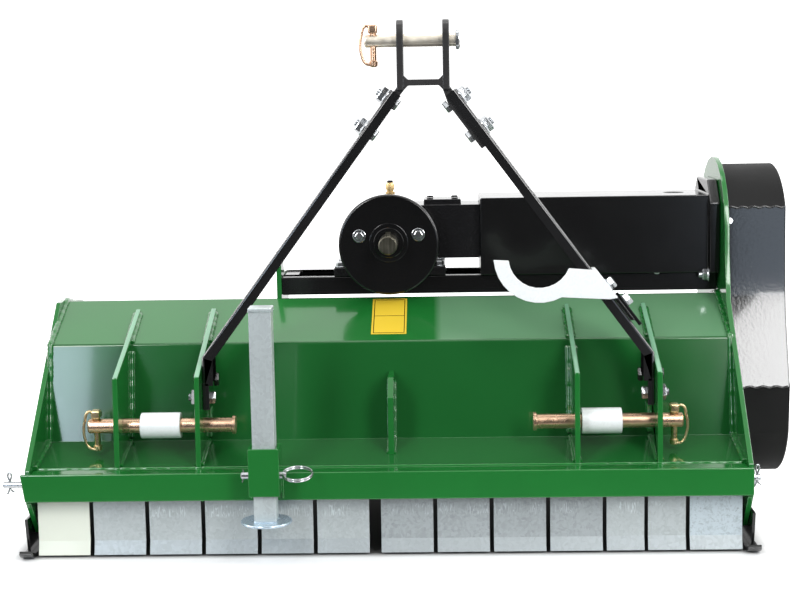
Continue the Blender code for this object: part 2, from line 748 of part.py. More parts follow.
def lugs(green):
    """Four hitch lugs standing on the hood."""
    foot = strip(HOOD_LINE, LUG_SEAT, 1)[len(HOOD_LINE):][::-1]
    first, last = LUG_FRONT, LUG_TOP_Y
    lower = [(RAIL_DEPTH + GAP, RAIL_TOP + GAP)]
    lower += [point for point in foot[1:] if first < point[0] < last]
    tip = last - LUG_TIP[0]
    outline = [(first, RAIL_TOP + GAP), LUG_KNEE, (tip, hood_height(tip, LUG_TIP[1])),
               (last, hood_height(last, LUG_SEAT))] + lower[::-1]
    names = ("hitch_lug_left_outer", "hitch_lug_left_inner", "hitch_lug_right_inner", "hitch_lug_right_outer")
    braced = (1, 3)
    for i, (name, x) in enumerate(zip(names, LUG_X)):
        cuts = [lambda bm: rod(bm, "x", (PIN_Y, PIN_Z), LOWER_PIN_R + GAP, x - THROUGH, x + THROUGH)]
        if i in braced:
            cuts += [lambda bm, z=z: rod(bm, "x", (FRAME_Y, z), BOLT_R + GAP, x - THROUGH, x + THROUGH,
                                         SIDES_SMALL)
                     for z in LUG_BOLTS_Z]
        solid(name, green, [lambda bm: prism(bm, "x", outline, x - LUG_T / 2, x + LUG_T / 2)], cuts)


def lower_pin_ends(side):
    """X of the head end and of the far end of a lower hitch pin."""
    inner = side * (LUG_SPREAD - LUG_SPACE) / 2
    outer = side * (LUG_SPREAD + LUG_SPACE) / 2
    shift = RIGHT_PIN_IN if side > 0 else 0
    start = inner - side * (LUG_T / 2 + LOWER_PIN_IN)
    end = outer + side * (LUG_T / 2 + LOWER_PIN_OUT)
    return start - shift, end - shift


def hitch_pin(name, material, centre, radius, head_x, end_x):
    """Pin along X with a flat head, and a hole for a linch pin near its far end."""
    side = 1 if end_x > head_x else -1
    hole_x = end_x - side * LINCH_END

    def pin(bm):
        steps = [(head_x, 0), (head_x, PIN_HEAD_R), (head_x + side * PIN_HEAD_T, PIN_HEAD_R),
                 (head_x + side * PIN_HEAD_T, radius), (end_x - side * PIN_CHAMFER, radius),
                 (end_x, radius - PIN_CHAMFER),
                 (end_x, 0)]
        lathe(bm, "x", centre, steps)

    def hole(bm):
        rod(bm, "z", (hole_x, centre[0]), LINCH_R + GAP, centre[1] - THROUGH, centre[1] + THROUGH,
            SIDES_SMALL)

    solid(name, material, [pin], [hole])
    return hole_x


def linch_pin(name, material, x, centre, radius, side):
    """Linch pin: a shank through the pin, a round head, and a wire ring that snaps round the pin's end."""
    head_z = centre[1] + radius + LINCH_HEAD_LIFT
    ring_x = x + side * (LINCH_R + LINCH_WIRE_R)

    def shank(bm):
        rod(bm, "z", (x, centre[0]), LINCH_R, centre[1] - LINCH_TAIL, head_z + LINCH_HEAD_T / 2, SIDES_SMALL)

    def head(bm):
        rod(bm, "z", (x, centre[0]), LINCH_HEAD_R, head_z, head_z + LINCH_HEAD_T, SIDES_SMALL)

    def ring(bm):
        wire_ring(bm, (ring_x, centre[0], centre[1]), "x", radius + LINCH_RING_OUT, LINCH_WIRE_R, 16)

    solid(name, material, [shank, head, ring])


def hitch_pins(brass_zinc, zinc):
    """Lower hitch pins with their spacer bushes, the top pin and the three linch pins."""
    for name, side in (("left", -1), ("right", 1)):
        head_x, end_x = lower_pin_ends(side)
        hole_x = hitch_pin(f"hitch_pin_{name}", brass_zinc, (PIN_Y, PIN_Z), LOWER_PIN_R, head_x, end_x)
        linch_pin(f"linch_pin_{name}", brass_zinc, hole_x, (PIN_Y, PIN_Z), LOWER_PIN_R, side)
        middle = side * LUG_SPREAD / 2
        if side > 0:
            middle -= RIGHT_BUSH_IN
        bore = (LOWER_PIN_R + RUN) / math.cos(math.pi / SIDES)
        ends = (middle - BUSH_L / 2, middle + BUSH_L / 2)
        profile = [(ends[0], bore), (ends[0], BUSH_R), (ends[1], BUSH_R), (ends[1], bore)]
        solid(f"spacer_bush_{name}", zinc,
              [lambda bm: lathe(bm, "x", (PIN_Y, PIN_Z), profile, closed=True)],
              origin=(middle, PIN_Y, PIN_Z))
    outside = MAST_SPACE / 2 + MAST_T / 2
    head_x = MAST_X + outside + TOP_PIN_RIGHT + PIN_HEAD_T
    end_x = MAST_X - outside - TOP_PIN_LEFT
    hole_x = hitch_pin("top_pin", brass_zinc, (FRAME_Y, TOP_PIN_Z), TOP_PIN_R, head_x, end_x)
    linch_pin("linch_pin_top", brass_zinc, hole_x, (FRAME_Y, TOP_PIN_Z), TOP_PIN_R, -1)


# A-frame

def frame_line():
    """Points (X from the mast's middle, Z) of a brace's centre line, and the unit direction down it."""
    top = Vector((MAST_SPACE / 2, MAST_BEND))
    foot = Vector((BRACE_FOOT_X - BRACE_W / 2, BRACE_BEND))
    offset = MAST_T / 2 - LEG_SEAT
    down = (foot - top).normalized()
    for _ in range(4):
        outward = Vector((-down.y, down.x))
        start = top + outward * offset
        down = (foot - start).normalized()
    return start, foot, down, outward


def brace_bolts(side, along, reach, radius, heads):
    """Builder for the bolts that clamp a mast leg to its brace."""
    start, foot, down, outward = frame_line()
    middle = start + down * along

    def build(bm):
        inner = middle - outward * reach[0]
        outer = middle + outward * reach[1]
        ends = [Vector((MAST_X + side * p.x, FRAME_Y, p.y)) for p in (inner, outer)]
        slant_rod(bm, ends[0], ends[1], radius)
        if heads:
            step = (ends[1] - ends[0]).normalized()
            slant_rod(bm, ends[0] - step * BOLT_HEAD_T, ends[0] + step * OVERLAP, BOLT_HEAD_R, 6)
            slant_rod(bm, ends[1] - step * (BOLT_PAST + NUT_T), ends[1] - step * BOLT_PAST, BOLT_HEAD_R, 6)

    return build


def slope_height(point, direction, x):
    """Height at which a sloping line reaches a given X."""
    return point.y + (x - point.x) / direction.x * direction.y


def braces(black):
    """The two sloping braces, with a tab bolted to the inner face of a lug at the foot."""
    start, foot, down, outward = frame_line()
    top = start + down * BRACE_TOP_CUT
    for name, side, lug in (("brace_left", -1, LUG_X[1]), ("brace_right", 1, LUG_X[3])):
        def bar(bm):
            outer_top = top + outward * BRACE_W / 2
            inner_top = top - outward * BRACE_W / 2
            outer_bend = slope_height(outer_top, down, BRACE_FOOT_X)
            inner_bend = slope_height(inner_top, down, BRACE_FOOT_X - BRACE_W)
            outline = [(outer_top.x, outer_top.y), (BRACE_FOOT_X, outer_bend),
                       (BRACE_FOOT_X, BRACE_STEP), (BRACE_FOOT_X - BRACE_W, BRACE_STEP),
                       (BRACE_FOOT_X - BRACE_W, inner_bend), (inner_top.x, inner_top.y)]
            outline = [(MAST_X + side * x, z) for x, z in outline]
            prism(bm, "y", outline, FRAME_Y - BRACE_D / 2, FRAME_Y + BRACE_D / 2)

        def channel(bm):
            web = outward * (BRACE_W / 2 - BRACE_WALL)
            open_side = outward * BRACE_W
            end = start + down * ((foot - start).length - BRACE_CHANNEL_END)
            corners = [start - down * BRACE_W + web, end + web,
                       end - open_side, start - down * BRACE_W - open_side]
            prism(bm, "y", [(MAST_X + side * p.x, p.y) for p in corners],
                  FRAME_Y - BRACE_D / 2 + BRACE_WALL, FRAME_Y + BRACE_D / 2 - BRACE_WALL)

        def tab(bm):
            xs = sorted((MAST_X + side * BRACE_FOOT_X, MAST_X + side * (BRACE_FOOT_X - TAB_T)))
            box(bm, xs, (FRAME_Y - BRACE_D / 2, FRAME_Y + BRACE_D / 2), (BRACE_FOOT, BRACE_STEP + 0.001))

        def bolt(bm, z, thick):
            face = MAST_X + side * BRACE_FOOT_X
            far = lug + side * (LUG_T / 2 + GAP)
            near = face - side * thick
            ends = sorted((near, far + side * (BOLT_HEAD_T + BOLT_PAST)))
            rod(bm, "x", (FRAME_Y, z), BOLT_R, ends[0], ends[1], SIDES_SMALL)
            head = sorted((near + side * OVERLAP, near - side * BOLT_HEAD_T))
            rod(bm, "x", (FRAME_Y, z), BOLT_HEAD_R, *head, 6)
            rod(bm, "x", (FRAME_Y, z), BOLT_HEAD_R, *sorted((far, far + side * BOLT_HEAD_T)), 6)

        cuts = [channel]
        cuts += [brace_bolts(side, along, (THROUGH, THROUGH), BOLT_R + GAP, False)
                 for along in BRACE_BOLTS_ALONG]
        solid(name, black, [
            bar, tab,
            lambda bm: bolt(bm, LUG_BOLTS_Z[0], TAB_T),
            lambda bm: bolt(bm, LUG_BOLTS_Z[1], BRACE_W),
        ], cuts)


def mast(black):
    """Top clevis: two upright plates, a cross bar with its welds, and legs bolted inside the braces."""
    start, foot, down, outward = frame_line()
    half = MAST_SPACE / 2
    radius = MAST_D / 2

    def plate(bm, side):
        centre = (FRAME_Y, MAST_TOP - radius)
        outline = arc(centre, radius, 0, 180, 8)
        foot = MAST_BEND - MAST_PLATE_END
        outline += [(FRAME_Y - radius, foot), (FRAME_Y + radius, foot)]
        xs = sorted((MAST_X + side * (half - MAST_T / 2), MAST_X + side * (half + MAST_T / 2)))
        prism(bm, "x", outline, xs[0], xs[1])

    def leg(bm, side):
        line = [(half + MAST_T / 2, MAST_BEND + MAST_T), (half + MAST_T / 2, MAST_BEND)]
        end = start + outward * LEG_SEAT + down * MAST_LEG
        line.append((end.x, end.y))
        outline = [(MAST_X + side * x, z) for x, z in strip(line, MAST_T, -1)]
        prism(bm, "y", outline, FRAME_Y - LEG_D / 2, FRAME_Y + LEG_D / 2)

    def cross_bar(bm):
        weld = CROSS_BAR_WELD
        low, high = CROSS_BAR_Z - CROSS_BAR_T / 2, CROSS_BAR_Z + CROSS_BAR_T / 2
        edge = half - MAST_T / 2 + OVERLAP
        outline = [(-edge, low - weld), (-edge + weld, low), (edge - weld, low), (edge, low - weld),
                   (edge, high + weld), (edge - weld, high), (-edge + weld, high), (-edge, high + weld)]
        prism(bm, "y", [(MAST_X + x, z) for x, z in outline], FRAME_Y - radius, FRAME_Y + radius)

    bolts = [
        brace_bolts(side, along, (MAST_T - LEG_SEAT, BRACE_W / 2 + GAP + NUT_T + BOLT_PAST), BOLT_R, True)
        for side in (-1, 1) for along in BRACE_BOLTS_ALONG
    ]
    solid("mast_head", black, [
        lambda bm: plate(bm, -1), lambda bm: leg(bm, -1), cross_bar,
        lambda bm: plate(bm, 1), lambda bm: leg(bm, 1), *bolts,
    ], [lambda bm: rod(bm, "x", (FRAME_Y, TOP_PIN_Z), TOP_PIN_R + GAP,
                       MAST_X - FAR_THROUGH, MAST_X + FAR_THROUGH)])


def hook(zinc):
    """Hook that the tractor's shaft rests in: a flat C, bent onto the outer face of the right brace."""
    start, foot, down, outward = frame_line()
    front = FRAME_Y - BRACE_D / 2 - GAP
    centre = (HOOK_X, HOOK_Z)

    def brace_x(z, offset):
        point = start + outward * offset
        return MAST_X + point.x + (z - point.y) / down.y * down.x

    edge = BRACE_W / 2 + GAP + HOOK_T
    low = HOOK_Z - HOOK_LOW
    high = HOOK_Z - HOOK_HIGH

    def blade(bm):
        inner = arc(centre, HOOK_R, *HOOK_INNER, 12)
        outer = arc(centre, HOOK_R + HOOK_BAND, *HOOK_OUTER, 10)
        outline = inner + outer + [(brace_x(low, edge) - HOOK_CORNER[0], low - HOOK_CORNER[1]),
                                   (brace_x(low, edge), low), (brace_x(high, edge), high)]
        prism(bm, "y", outline, front - HOOK_T, front)

    def tab(bm):
        near, far = BRACE_W / 2 + GAP, BRACE_W / 2 + GAP + HOOK_T
        tail = low - HOOK_TAB
        outline = [(brace_x(high, near), high), (brace_x(high, far), high),
                   (brace_x(tail, far), tail), (brace_x(tail, near), tail)]
        prism(bm, "y", outline, front - OVERLAP, FRAME_Y + BRACE_D / 2)

    solid("pto_hook", zinc, [blade, tab])


# Parking stand

def stand(zinc):
    """Leg with its cap and round foot, slotted at both sides for the lock pin, and the pin with its ring."""
    half = STAND_W / 2
    top = STAND_FOOT_Z + STAND_FOOT_T + STAND_LEN
    slot = (STAND_PIN_Z - STAND_UP - STAND_PIN_R - RUN, STAND_PIN_Z + STAND_DOWN + STAND_PIN_R + RUN)

    def leg(bm):
        box(bm, (STAND_X - half, STAND_X + half), (STAND_Y - half, STAND_Y + half), (STAND_FOOT_Z, top))

    def foot(bm):
        rod(bm, "z", (STAND_X, STAND_Y), STAND_FOOT_R, STAND_FOOT_Z, STAND_FOOT_Z + STAND_FOOT_T)

    def cap(bm):
        rim = half + STAND_CAP_RIM
        box(bm, (STAND_X - rim, STAND_X + rim), (STAND_Y - rim, STAND_Y + rim),
            (top - OVERLAP, top + STAND_CAP_T))

    def bore(bm):
        inner = half - STAND_WALL
        box(bm, (STAND_X - inner, STAND_X + inner), (STAND_Y - inner, STAND_Y + inner),
            (STAND_FOOT_Z + STAND_FOOT_T, top - STAND_WALL))

    def slots(bm):
        wide = STAND_PIN_R + RUN
        box(bm, (STAND_X - STAND_W, STAND_X + STAND_W), (STAND_Y - wide, STAND_Y + wide), slot)

    solid("stand_leg", zinc, [leg, foot, cap], [bore, slots], origin=(STAND_X, STAND_Y, STAND_PIN_Z))
    socket_half = half + RUN + SOCKET_T
    left = STAND_X - socket_half - STAND_PIN_LEFT
    right = STAND_X + socket_half + STAND_PIN_RIGHT
    ring_x = right + STAND_RING_R - STAND_WIRE_R / 2

    def shank(bm):
        rod(bm, "x", (STAND_Y, STAND_PIN_Z), STAND_PIN_R, left, right, SIDES_SMALL)

    def ring(bm):
        wire_ring(bm, (ring_x, STAND_Y, STAND_PIN_Z), "y", STAND_RING_R, STAND_WIRE_R)

    solid("stand_pin", zinc, [shank, ring], origin=(STAND_X, STAND_Y, STAND_PIN_Z))


# Gearbox and shafts

def subframe(black):
    """Two cross tubes over the hood, joined by short bars, that carry the gearbox and the housing."""
    low, high = RIDGE_Z + TUBE_LIFT, TUBE_TOP
    rows = (AXIS_Y - TUBE_SPACE / 2, AXIS_Y + TUBE_SPACE / 2)
    left, right = -SUBFRAME_LEFT, HALF - GAP
    ends = (left, right - TUBE_W, -BASE_HALF, BASE_HALF - TUBE_W)

    def tube(bm, y):
        box(bm, (left, right), (y - TUBE_W / 2, y + TUBE_W / 2), (low, high))

    def bar(bm, x):
        box(bm, (x, x + TUBE_W), (rows[0], rows[1]), (low + OVERLAP, high - OVERLAP))

    parts = [lambda bm, y=y: tube(bm, y) for y in rows]
    parts[1:1] = [lambda bm, x=x: bar(bm, x) for x in ends]
    solid("drive_subframe", black, parts)


def gearbox(black):
    """Gearbox case with feet, neck and breather, and the round cover on its front."""
    back = CASE_Y + CASE_DEPTH
    floor = TUBE_TOP + GAP
    flange_back = CASE_Y + CASE_FLANGE_T
    neck_low = AXIS_Z - NECK_DROP
    neck_top = neck_low + NECK_H
    cut_y, cut_r = CASE_BACK_CUT

    def body(bm):
        profile = [(CASE_Y, 0), (CASE_Y, CASE_FLANGE_R), (flange_back, CASE_FLANGE_R), (flange_back, CASE_R),
                   (back - cut_y, CASE_R), (back, CASE_R - cut_r), (back, 0)]
        lathe(bm, "y", (0, AXIS_Z), profile, SIDES_LARGE)

    def feet(bm):
        box(bm, (-BASE_HALF, BASE_HALF), (flange_back + FOOT_BACK, back), (floor, floor + BASE_T))

    def cheek(bm):
        box(bm, (-CASE_R, CASE_R), (flange_back + CHEEK_IN[0], back - CHEEK_IN[1]),
            (floor + OVERLAP, AXIS_Z - CHEEK_IN[1]))

    def neck(bm):
        box(bm, (CASE_R / 2, NECK_END - GAP), (AXIS_Y - NECK_D / 2, AXIS_Y + NECK_D / 2),
            (neck_low, neck_top))

    def lid(bm):
        box(bm, (NECK_END - LID_X[0], NECK_END - LID_X[1]), (AXIS_Y - LID_HALF, AXIS_Y + LID_HALF),
            (neck_top - OVERLAP, neck_top + LID_T))

    def breather(bm):
        centre = (BREATHER_X, AXIS_Y + BREATHER_Y)
        boss_top = AXIS_Z + CASE_R + BREATHER_BOSS
        rod(bm, "z", centre, BREATHER_R, AXIS_Z + CASE_R - CASE_WALL / 2, boss_top, SIDES_SMALL)
        rod(bm, "z", centre, BREATHER_R * BREATHER_STEM, boss_top - OVERLAP,
            AXIS_Z + CASE_FLANGE_R + BREATHER_H,
            SIDES_SMALL)

    def gear_room(bm):
        rod(bm, "y", (0, AXIS_Z), CASE_R - CASE_WALL, CASE_Y - THROUGH, back - CASE_BACK_WALL, SIDES_LARGE)

    def shaft_bore(bm):
        rod(bm, "x", (AXIS_Y, AXIS_Z), SHAFT_R + BORE_RUN, 0, NECK_END + THROUGH)

    solid("gearbox_case", black, [body, feet, cheek, neck, lid, breather], [gear_room, shaft_bore])

    def disc(bm):
        face = COVER_Y - COVER_T
        profile = [(face, 0), (face, COVER_R - COVER_EDGE), (face + COVER_EDGE, COVER_R), (COVER_Y, COVER_R),
                   (COVER_Y, 0)]
        lathe(bm, "y", (0, AXIS_Z - COVER_LOW), profile, SIDES_LARGE)

    solid("gearbox_cover", black, [disc],
          [lambda bm: rod(bm, "y", (0, AXIS_Z), PTO_R + BORE_RUN,
                          COVER_Y - FAR_THROUGH, COVER_Y + FAR_THROUGH)])


def shafts(steel, iron):
    """Input shaft with its crown gear, and the cross shaft with its pinion and the upper pulley."""
    tip = COVER_Y - COVER_T - PTO_OUT
    crown_back = AXIS_Y - PINION_R - MESH
    inner = CROWN_R * CROWN_INNER
    cone = PINION_R * (1 - CROWN_INNER)
    key_w, key_h, key_end = PTO_KEY

    def input_shaft(bm):
        profile = [(tip, 0), (tip, PTO_R - PTO_CHAMFER), (tip + PTO_CHAMFER, PTO_R),
                   (crown_back - CROWN_BACK, PTO_R),
                   (crown_back - CROWN_BACK, CROWN_R - CROWN_CUT), (crown_back - CROWN_CUT, CROWN_R),
                   (crown_back, CROWN_R), (crown_back + cone, inner), (crown_back + cone, 0)]
        lathe(bm, "y", (0, AXIS_Z), profile, SIDES_LARGE)

    def key(bm):
        top = AXIS_Z + PTO_R
        box(bm, (-key_w / 2, key_w / 2), (tip + key_h, tip + key_end), (top - key_h, top + key_h))

    solid("pto_shaft", steel, [input_shaft, key], origin=(0, AXIS_Y, AXIS_Z))
    start = inner + MESH / 2
    rim_x = (PULLEY_X, PULLEY_X + PULLEY_W)

    def cross(bm):
        dish = rim_x[1] - PULLEY_DISH
        profile = [(start, 0), (start, PINION_R * PINION_TIP), (CROWN_R, PINION_R - MESH),
                   (CROWN_R + CROWN_CUT, SHAFT_R), (rim_x[0], SHAFT_R),
                   (rim_x[0], UPPER_PULLEY_R), (rim_x[1], UPPER_PULLEY_R),
                   (rim_x[1], UPPER_PULLEY_R - PULLEY_RIM),
                   (dish, UPPER_PULLEY_R - PULLEY_RIM - PULLEY_DRAFT),
                   (dish, UPPER_HUB_R + PULLEY_DRAFT), (rim_x[1], UPPER_HUB_R), (rim_x[1], 0)]
        lathe(bm, "x", (AXIS_Y, AXIS_Z), profile, SIDES_LARGE)

    solid("cross_shaft", iron, [cross], origin=(PULLEY_X, AXIS_Y, AXIS_Z))


def housing(black):
    """Box beam between the gearbox neck and the side plate, with a flange at its right end."""
    low = TUBE_TOP + GAP
    high = low + HOUSING_H
    ends = (NECK_END, HALF - GAP - FLANGE_T + OVERLAP)
    half = HOUSING_D / 2

    def beam(bm):
        box(bm, ends, (AXIS_Y - half, AXIS_Y + half), (low, high))

    def flange(bm):
        wide = FLANGE_D / 2
        across, drop = FLANGE_SHOULDER
        outline = [(AXIS_Y - wide, low + OVERLAP), (AXIS_Y + wide, low + OVERLAP),
                   (AXIS_Y + wide, high - drop),
                   (AXIS_Y + wide - across, high + FLANGE_RISE), (AXIS_Y - wide + across, high + FLANGE_RISE),
                   (AXIS_Y - wide, high - drop)]
        prism(bm, "x", outline, HALF - GAP - FLANGE_T, HALF - GAP)

    def room(bm):
        box(bm, (ends[0] + HOUSING_T, ends[1] - HOUSING_T),
            (AXIS_Y - half + HOUSING_T, AXIS_Y + half - HOUSING_T),
            (low + HOUSING_T, high - HOUSING_T))

    def bore(bm):
        rod(bm, "x", (AXIS_Y, AXIS_Z), SHAFT_R + HOUSING_BORE, ends[0] - THROUGH, HALF + THROUGH)

    def eye(bm):
        rod(bm, "z", (HALF - HOUSING_EYE_IN, AXIS_Y), HOUSING_EYE_R, high - THROUGH, high + THROUGH)

    solid("drive_housing", black, [beam, flange], [room, bore, eye])


# Belt drive

def belt_drive(iron, rubber, black):
    """Lower pulley, belt and the cover round them."""
    ends = (PULLEY_X, PULLEY_X + PULLEY_W)
    bore = (STUB_R + GAP) / math.cos(math.pi / SIDES_LARGE)

    def pulley(bm):
        dish = ends[1] - PULLEY_DISH
        profile = [(ends[0], bore), (ends[0], LOWER_PULLEY_R), (ends[1], LOWER_PULLEY_R),
                   (ends[1], LOWER_PULLEY_R - PULLEY_RIM), (dish, LOWER_PULLEY_R - PULLEY_RIM - PULLEY_DRAFT),
                   (dish, LOWER_HUB_R + PULLEY_DRAFT), (ends[1], LOWER_HUB_R), (ends[1], bore)]
        lathe(bm, "x", (ROTOR_Y, ROTOR_Z), profile, SIDES_LARGE, closed=True)

    solid("lower_pulley", iron, [pulley], origin=(PULLEY_X, ROTOR_Y, ROTOR_Z))
    seat = RUN + UPPER_PULLEY_R * (1 / math.cos(math.pi / (2 * LOOP_STEPS)) - 1)

    def belt_outer(bm):
        outline = loop_round(UPPER_PULLEY_R + BELT_T, LOWER_PULLEY_R + BELT_T)
        prism(bm, "x", outline, ends[0] + BELT_IN, ends[1] - BELT_IN)

    def belt_inner(bm):
        loop = loop_round(UPPER_PULLEY_R + seat, LOWER_PULLEY_R + seat)
        prism(bm, "x", loop, ends[0] - THROUGH, ends[1] + THROUGH)

    solid("drive_belt", rubber, [belt_outer], [belt_inner])
    face = OUTER + GAP

    def shell(bm):
        prism(bm, "x", loop_round(COVER_UPPER_R, COVER_LOWER_R), face, RIGHT_END)

    def room(bm):
        prism(bm, "x", loop_round(COVER_UPPER_R - COVER_WALL, COVER_LOWER_R - COVER_WALL), face - THROUGH,
              RIGHT_END - COVER_WALL)

    solid("belt_cover", black, [shell], [room])


# Rotor

def station_places():
    """X and angle of each flail station."""
    first, last = -HALF + STATION_END, HALF - STATION_END
    return [
        (first + (last - first) * i / (STATIONS - 1), math.radians((STATION_START + STATION_TURN * i) % 360))
        for i in range(STATIONS)
    ]


def hanging_turn(angle):
    """Turn of a flail from pointing outwards to hanging straight down, or to lying on its stop."""
    down = math.remainder(math.pi - angle, math.tau)
    stop = math.radians(FLAIL_STOP)
    return max(-stop, min(stop, down))


def rotor(black, steel):
    """Rotor tube with stub shafts, and at each station two lugs and a hinge bolt."""
    tube_end = HALF - ROTOR_END
    left = -(OUTER + GAP + BEARING_T + STUB_PAST)
    right = PULLEY_X + PULLEY_W + STUB_PAST

    def body(bm):
        profile = [(left, 0), (left, STUB_R), (-tube_end, STUB_R), (-tube_end, ROTOR_R), (tube_end, ROTOR_R),
                   (tube_end, STUB_R), (right, STUB_R), (right, 0)]
        lathe(bm, "x", (ROTOR_Y, ROTOR_Z), profile, SIDES)

    def inside(bm):
        rod(bm, "x", (ROTOR_Y, ROTOR_Z), ROTOR_R - ROTOR_WALL, -tube_end + ROTOR_WALL, tube_end - ROTOR_WALL)

    def drain(bm):
        rod(bm, "y", (0, ROTOR_Z), DRAIN_R, ROTOR_Y, ROTOR_Y + FAR_THROUGH, 6)

    def station(bm, x, angle):
        verts = []
        for side in (-1, 1):
            near = x + side * FLAIL_SPACE / 2
            ends = sorted((near, near + side * ROTOR_LUG_T))
            half = ROTOR_LUG_W / 2
            outline = [(-half, ROTOR_R - ROTOR_WALL / 2), (half, ROTOR_R - ROTOR_WALL / 2), (half, HINGE_R)]
            outline += arc((0, HINGE_R), half, 0, 180, 6)[1:]
            verts += prism(bm, "x", outline, ends[0], ends[1])
        turn_about_rotor(verts, angle)

    def hinge(bm, x, angle):
        reach = FLAIL_SPACE / 2 + ROTOR_LUG_T
        verts = rod(bm, "x", (0, HINGE_R), HINGE_PIN_R, x - reach - OVERLAP, x + reach + OVERLAP, SIDES_SMALL)
        turn_about_rotor(verts, angle)

    def hinge_ends(bm, x, angle):
        reach = FLAIL_SPACE / 2 + ROTOR_LUG_T
        verts = rod(bm, "x", (0, HINGE_R), BOLT_HEAD_R, x - reach - BOLT_HEAD_T, x - reach + OVERLAP, 6)
        verts += rod(bm, "x", (0, HINGE_R), BOLT_HEAD_R, x + reach - OVERLAP, x + reach + NUT_T, 6)
        turn_about_rotor(verts, angle)

    places = station_places()
    parts = [body]
    for shape in (station, hinge, hinge_ends):
        parts.append(lambda bm, shape=shape: [shape(bm, x, angle) for x, angle in places])
    solid("rotor", black, parts, [inside, drain], origin=(0, ROTOR_Y, ROTOR_Z))

    for i, (x, angle) in enumerate(places):
        flail(i, x, angle, steel)


def turn_about_rotor(verts, angle):
    """Turn points that lie above the rotor axis, in Y and Z from it, to their station's angle."""
    turn = Matrix.Rotation(angle, 3, "X")
    for vert in verts:
        vert.co = turn @ vert.co + Vector((0, ROTOR_Y, ROTOR_Z))


def flail(index, x, angle, steel):
    """A pair of flail blades on one hub, hinged at a station and hanging by its own weight."""
    hub_in = (HINGE_PIN_R + RUN) / math.cos(math.pi / SIDES_SMALL)
    reach = math.sqrt(SWING_R ** 2 - (FLAIL_W / 2) ** 2) - HINGE_R - OVERLAP
    hub_half = FLAIL_SPACE / 2 - FLAIL_SIDE

    def hub(bm):
        profile = [(-hub_half, hub_in), (-hub_half, FLAIL_HUB_R), (hub_half, FLAIL_HUB_R), (hub_half, hub_in)]
        lathe(bm, "x", (0, 0), profile, SIDES_SMALL, closed=True)

    def blade(bm, side):
        root = side * (FLAIL_T + 2 * OVERLAP)
        line = [(root, FLAIL_HUB_R - 2 * OVERLAP), (root, reach * FLAIL_SHANK), (side * FLAIL_SPREAD, reach)]
        prism(bm, "y", strip(line, FLAIL_T, side), -FLAIL_W / 2, FLAIL_W / 2)

    thing = solid(f"flail_pair_{index + 1}", steel, [hub, lambda bm: blade(bm, -1), lambda bm: blade(bm, 1)])
    turn = Matrix.Rotation(angle + hanging_turn(angle), 4, "X")
    hinge = Vector((ROTOR_Y, ROTOR_Z)) + Vector((-math.sin(angle), math.cos(angle))) * HINGE_R
    thing.location = (x, *hinge)
    thing.rotation_euler = turn.to_euler()


def bearings(black):
    """Flanged rotor bearings: outside the left side plate and inside the right one."""
    bore = (STUB_R + RUN) / math.cos(math.pi / SIDES)
    half = BEARING_W / 2
    for name, start, out in (("rotor_bearing_left", -(OUTER + GAP), -1), ("rotor_bearing_right", HALF, -1)):
        if start > 0:
            start -= GAP

        def flange(bm):
            cut = BEARING_CORNER
            outline = [(-half, -half + cut), (-half + cut, -half), (half - cut, -half), (half, -half + cut),
                       (half, half - cut), (half - cut, half), (-half + cut, half), (-half, half - cut)]
            outline = [(ROTOR_Y + y, ROTOR_Z + z) for y, z in outline]
            prism(bm, "x", outline, *sorted((start, start + out * FLANGE_PLATE_T)))

        def boss(bm):
            ends = sorted((start + out * OVERLAP, start + out * BEARING_T))
            rod(bm, "x", (ROTOR_Y, ROTOR_Z), BEARING_R, *ends)

        solid(name, black, [flange, boss],
              [lambda bm: rod(bm, "x", (ROTOR_Y, ROTOR_Z), bore, start - FAR_THROUGH, start + FAR_THROUGH)])


# Roller

def bracket_bolts(bm, start, end, radius, sides=SIDES_SMALL):
    """The two bolts that hold a roller bracket to a side plate."""
    for height in BRACKET_BOLTS_Z:
        rod(bm, "x", (REAR_Y - BRACKET_BOLT_IN, ROTOR_Z + height), radius, start, end, sides)


